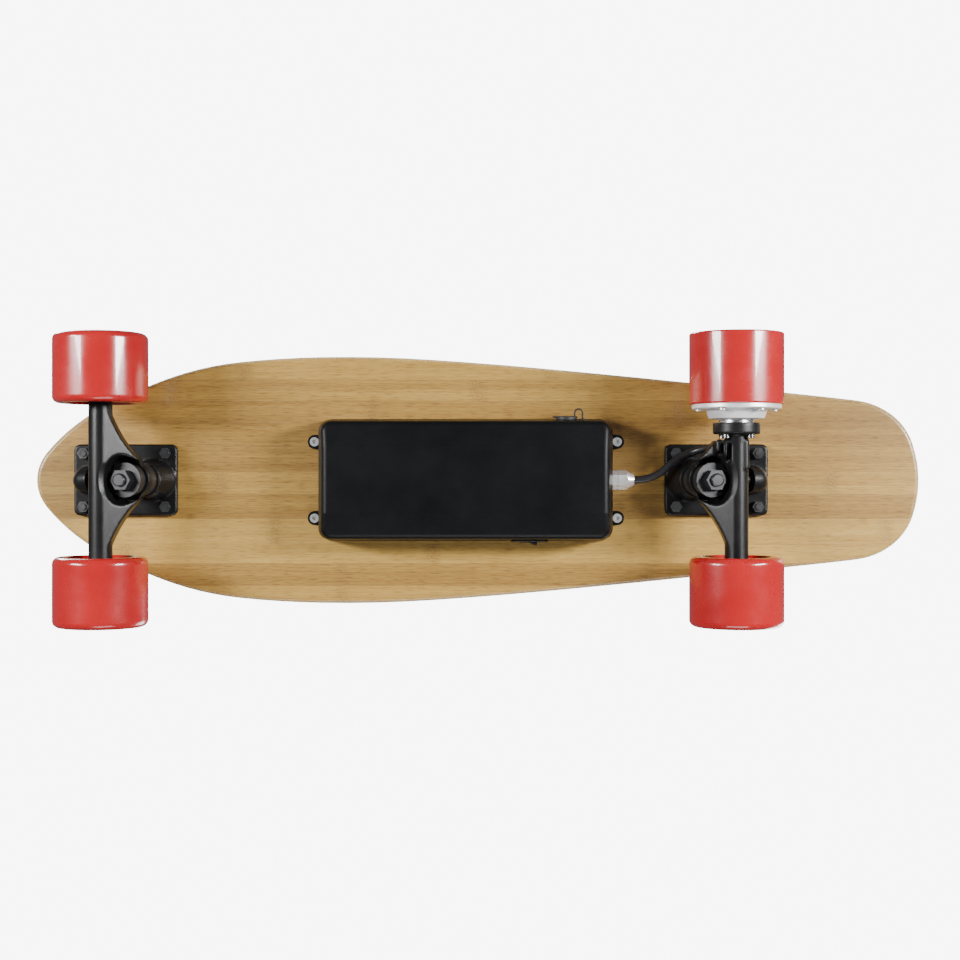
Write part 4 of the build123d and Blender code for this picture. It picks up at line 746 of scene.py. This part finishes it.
paint("motor_stator", lamination)
paint("motor_can", lamination)
paint("motor_magnets", metal("nickel_plate", (0.4, 0.39, 0.36, 1), (0.55, 0.53, 0.5, 1), 0.2, 0.3))
copper = metal(
    "enamelled_copper", (0.42, 0.12, 0.035, 1), (0.62, 0.24, 0.08, 1), 0.25, 0.4, stretch=8.0, depth=0.4
)
paint("motor_windings", copper)


# ------------------------------------------------------------------ electronics box
# A vacuum-drawn black plastic cover, satin, with a flat middle panel and sides that slope away. It sits on a
# foam gasket and is held by four stainless socket screws in brass inserts.
case_plastic, tree, shader = fresh_material("satin_black_plastic", Specular_IOR_Level=0.2)
case_colours = (0.0022, 0.0024, 0.0027, 1), (0.004, 0.0042, 0.0046, 1)
mottle(tree, shader, case_colours, (0.34, 0.46), 1900.0, 22.0, (0.35, 0.0002))
paint("enclosure_cover", case_plastic)
foam = rubbery("closed_cell_foam", (0.014, 0.014, 0.014), 0.75, 0.9, 1400.0, 0.5)
paint("enclosure_gasket", foam)
paint("enclosure_screws", stainless)
paint("enclosure_inserts", metal("turned_brass", (0.55, 0.36, 0.12, 1), (0.7, 0.5, 0.2, 1), 0.22, 0.34))


# ------------------------------------------------------------------ inside the box
# Ten lithium cells in colour sleeves, joined by nickel strips and wedged with foam; their guard board; and
# the motor controller on its finned aluminium plate, with the radio receiver over it.
paint("battery_cells", rubbery("cell_sleeve", (0.03, 0.16, 0.34), 0.3, 0.42, 700.0, 0.1))
paint("battery_strips", metal("nickel_strip", (0.5, 0.48, 0.42, 1), (0.66, 0.63, 0.57, 1), 0.25, 0.4))
paint("battery_pads", rubbery("soft_foam", (0.05, 0.05, 0.052), 0.8, 0.95, 1000.0, 0.6))
circuit = rubbery("circuit_board", (0.006, 0.075, 0.025), 0.3, 0.45, 1300.0, 0.4)
for name in ("battery_board", "controller_board", "receiver_board"):
    paint(name, circuit)
sawn_aluminium = metal("sawn_aluminium", (0.5, 0.5, 0.51, 1), (0.7, 0.7, 0.71, 1), 0.3, 0.45, stretch=0.1)
paint("controller_heat_sink", sawn_aluminium)


# ------------------------------------------------------------------ charge socket, its cap, and the switch
# The socket has a gloss moulded collar under a soft rubber cap, which hangs on a looped strap. The switch is
# a small gloss rocker that stays tipped to one side or the other.
gloss_plastic = rubbery("gloss_black_plastic", (0.008, 0.008, 0.009), 0.12, 0.22, 600.0, 0.05)
paint("charge_socket", gloss_plastic)
paint("switch_housing", gloss_plastic)
paint("power_rocker", gloss_plastic)
soft_rubber = rubbery("soft_black_rubber", (0.011, 0.011, 0.012), 0.45, 0.6, 1200.0)
cap = soft_copy("charge_cap", "charge_cap_moulding", 0.0003, passes=3)
dress(cap, soft_rubber, "soft_rubber", "charge_cap", "charge_cap")
tether = soft_copy("cap_tether", "cap_strap", 0.00022, passes=4)
dress(tether, soft_rubber, "soft_rubber", None, "cap_tether")
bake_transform(tether)


# ------------------------------------------------------------------ cable gland and motor cable
# A plated brass gland clamps the cable where it leaves the box. The cable is limp, in a black silicone
# sheath; it curves over a deck bolt and dives into a rubber grommet in the rear hanger.
paint("cable_gland", zinc)
paint("gland_dome_nut", zinc)
paint("cable_grommet", soft_rubber)
sheath = rubbery("silicone_sheath", (0.009, 0.009, 0.01), 0.3, 0.42, 900.0, 0.15)
cable_radius = 0.0029
cable_points = [
    (0.1195, 0.0, 0.0700),
    (0.1340, 0.0, 0.0700),
    (0.1525, -0.0165, 0.0700),
    (0.1700, -0.0235, 0.0696),
    (0.18095, -0.0255, 0.0530),
]
line_data = bpy.data.curves.new("cable_line", "CURVE")
line_data.dimensions = "3D"
line_data.resolution_u = 24
spline = line_data.splines.new("NURBS")
spline.points.add(len(cable_points) - 1)
for point, place in zip(spline.points, cable_points):
    point.co = (*place, 1.0)
spline.order_u = 3
spline.use_endpoint_u = True
line = bpy.data.objects.new("cable_line", line_data)
bpy.context.scene.collection.objects.link(line)
bpy.context.view_layer.update()
line_mesh = bpy.data.meshes.new_from_object(line.evaluated_get(bpy.context.evaluated_depsgraph_get()))
line_data.bevel_depth = cable_radius
line_data.bevel_resolution = 6
line_data.use_fill_caps = True
bpy.context.view_layer.update()
cable_mesh = bpy.data.meshes.new_from_object(line.evaluated_get(bpy.context.evaluated_depsgraph_get()))
bpy.data.objects.remove(line)
cable = bpy.data.objects.new("motor_cable_run", cable_mesh)
bpy.context.scene.collection.objects.link(cable)
dress(cable, sheath, "cable_sheath", None, "motor_cable")
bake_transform(cable)
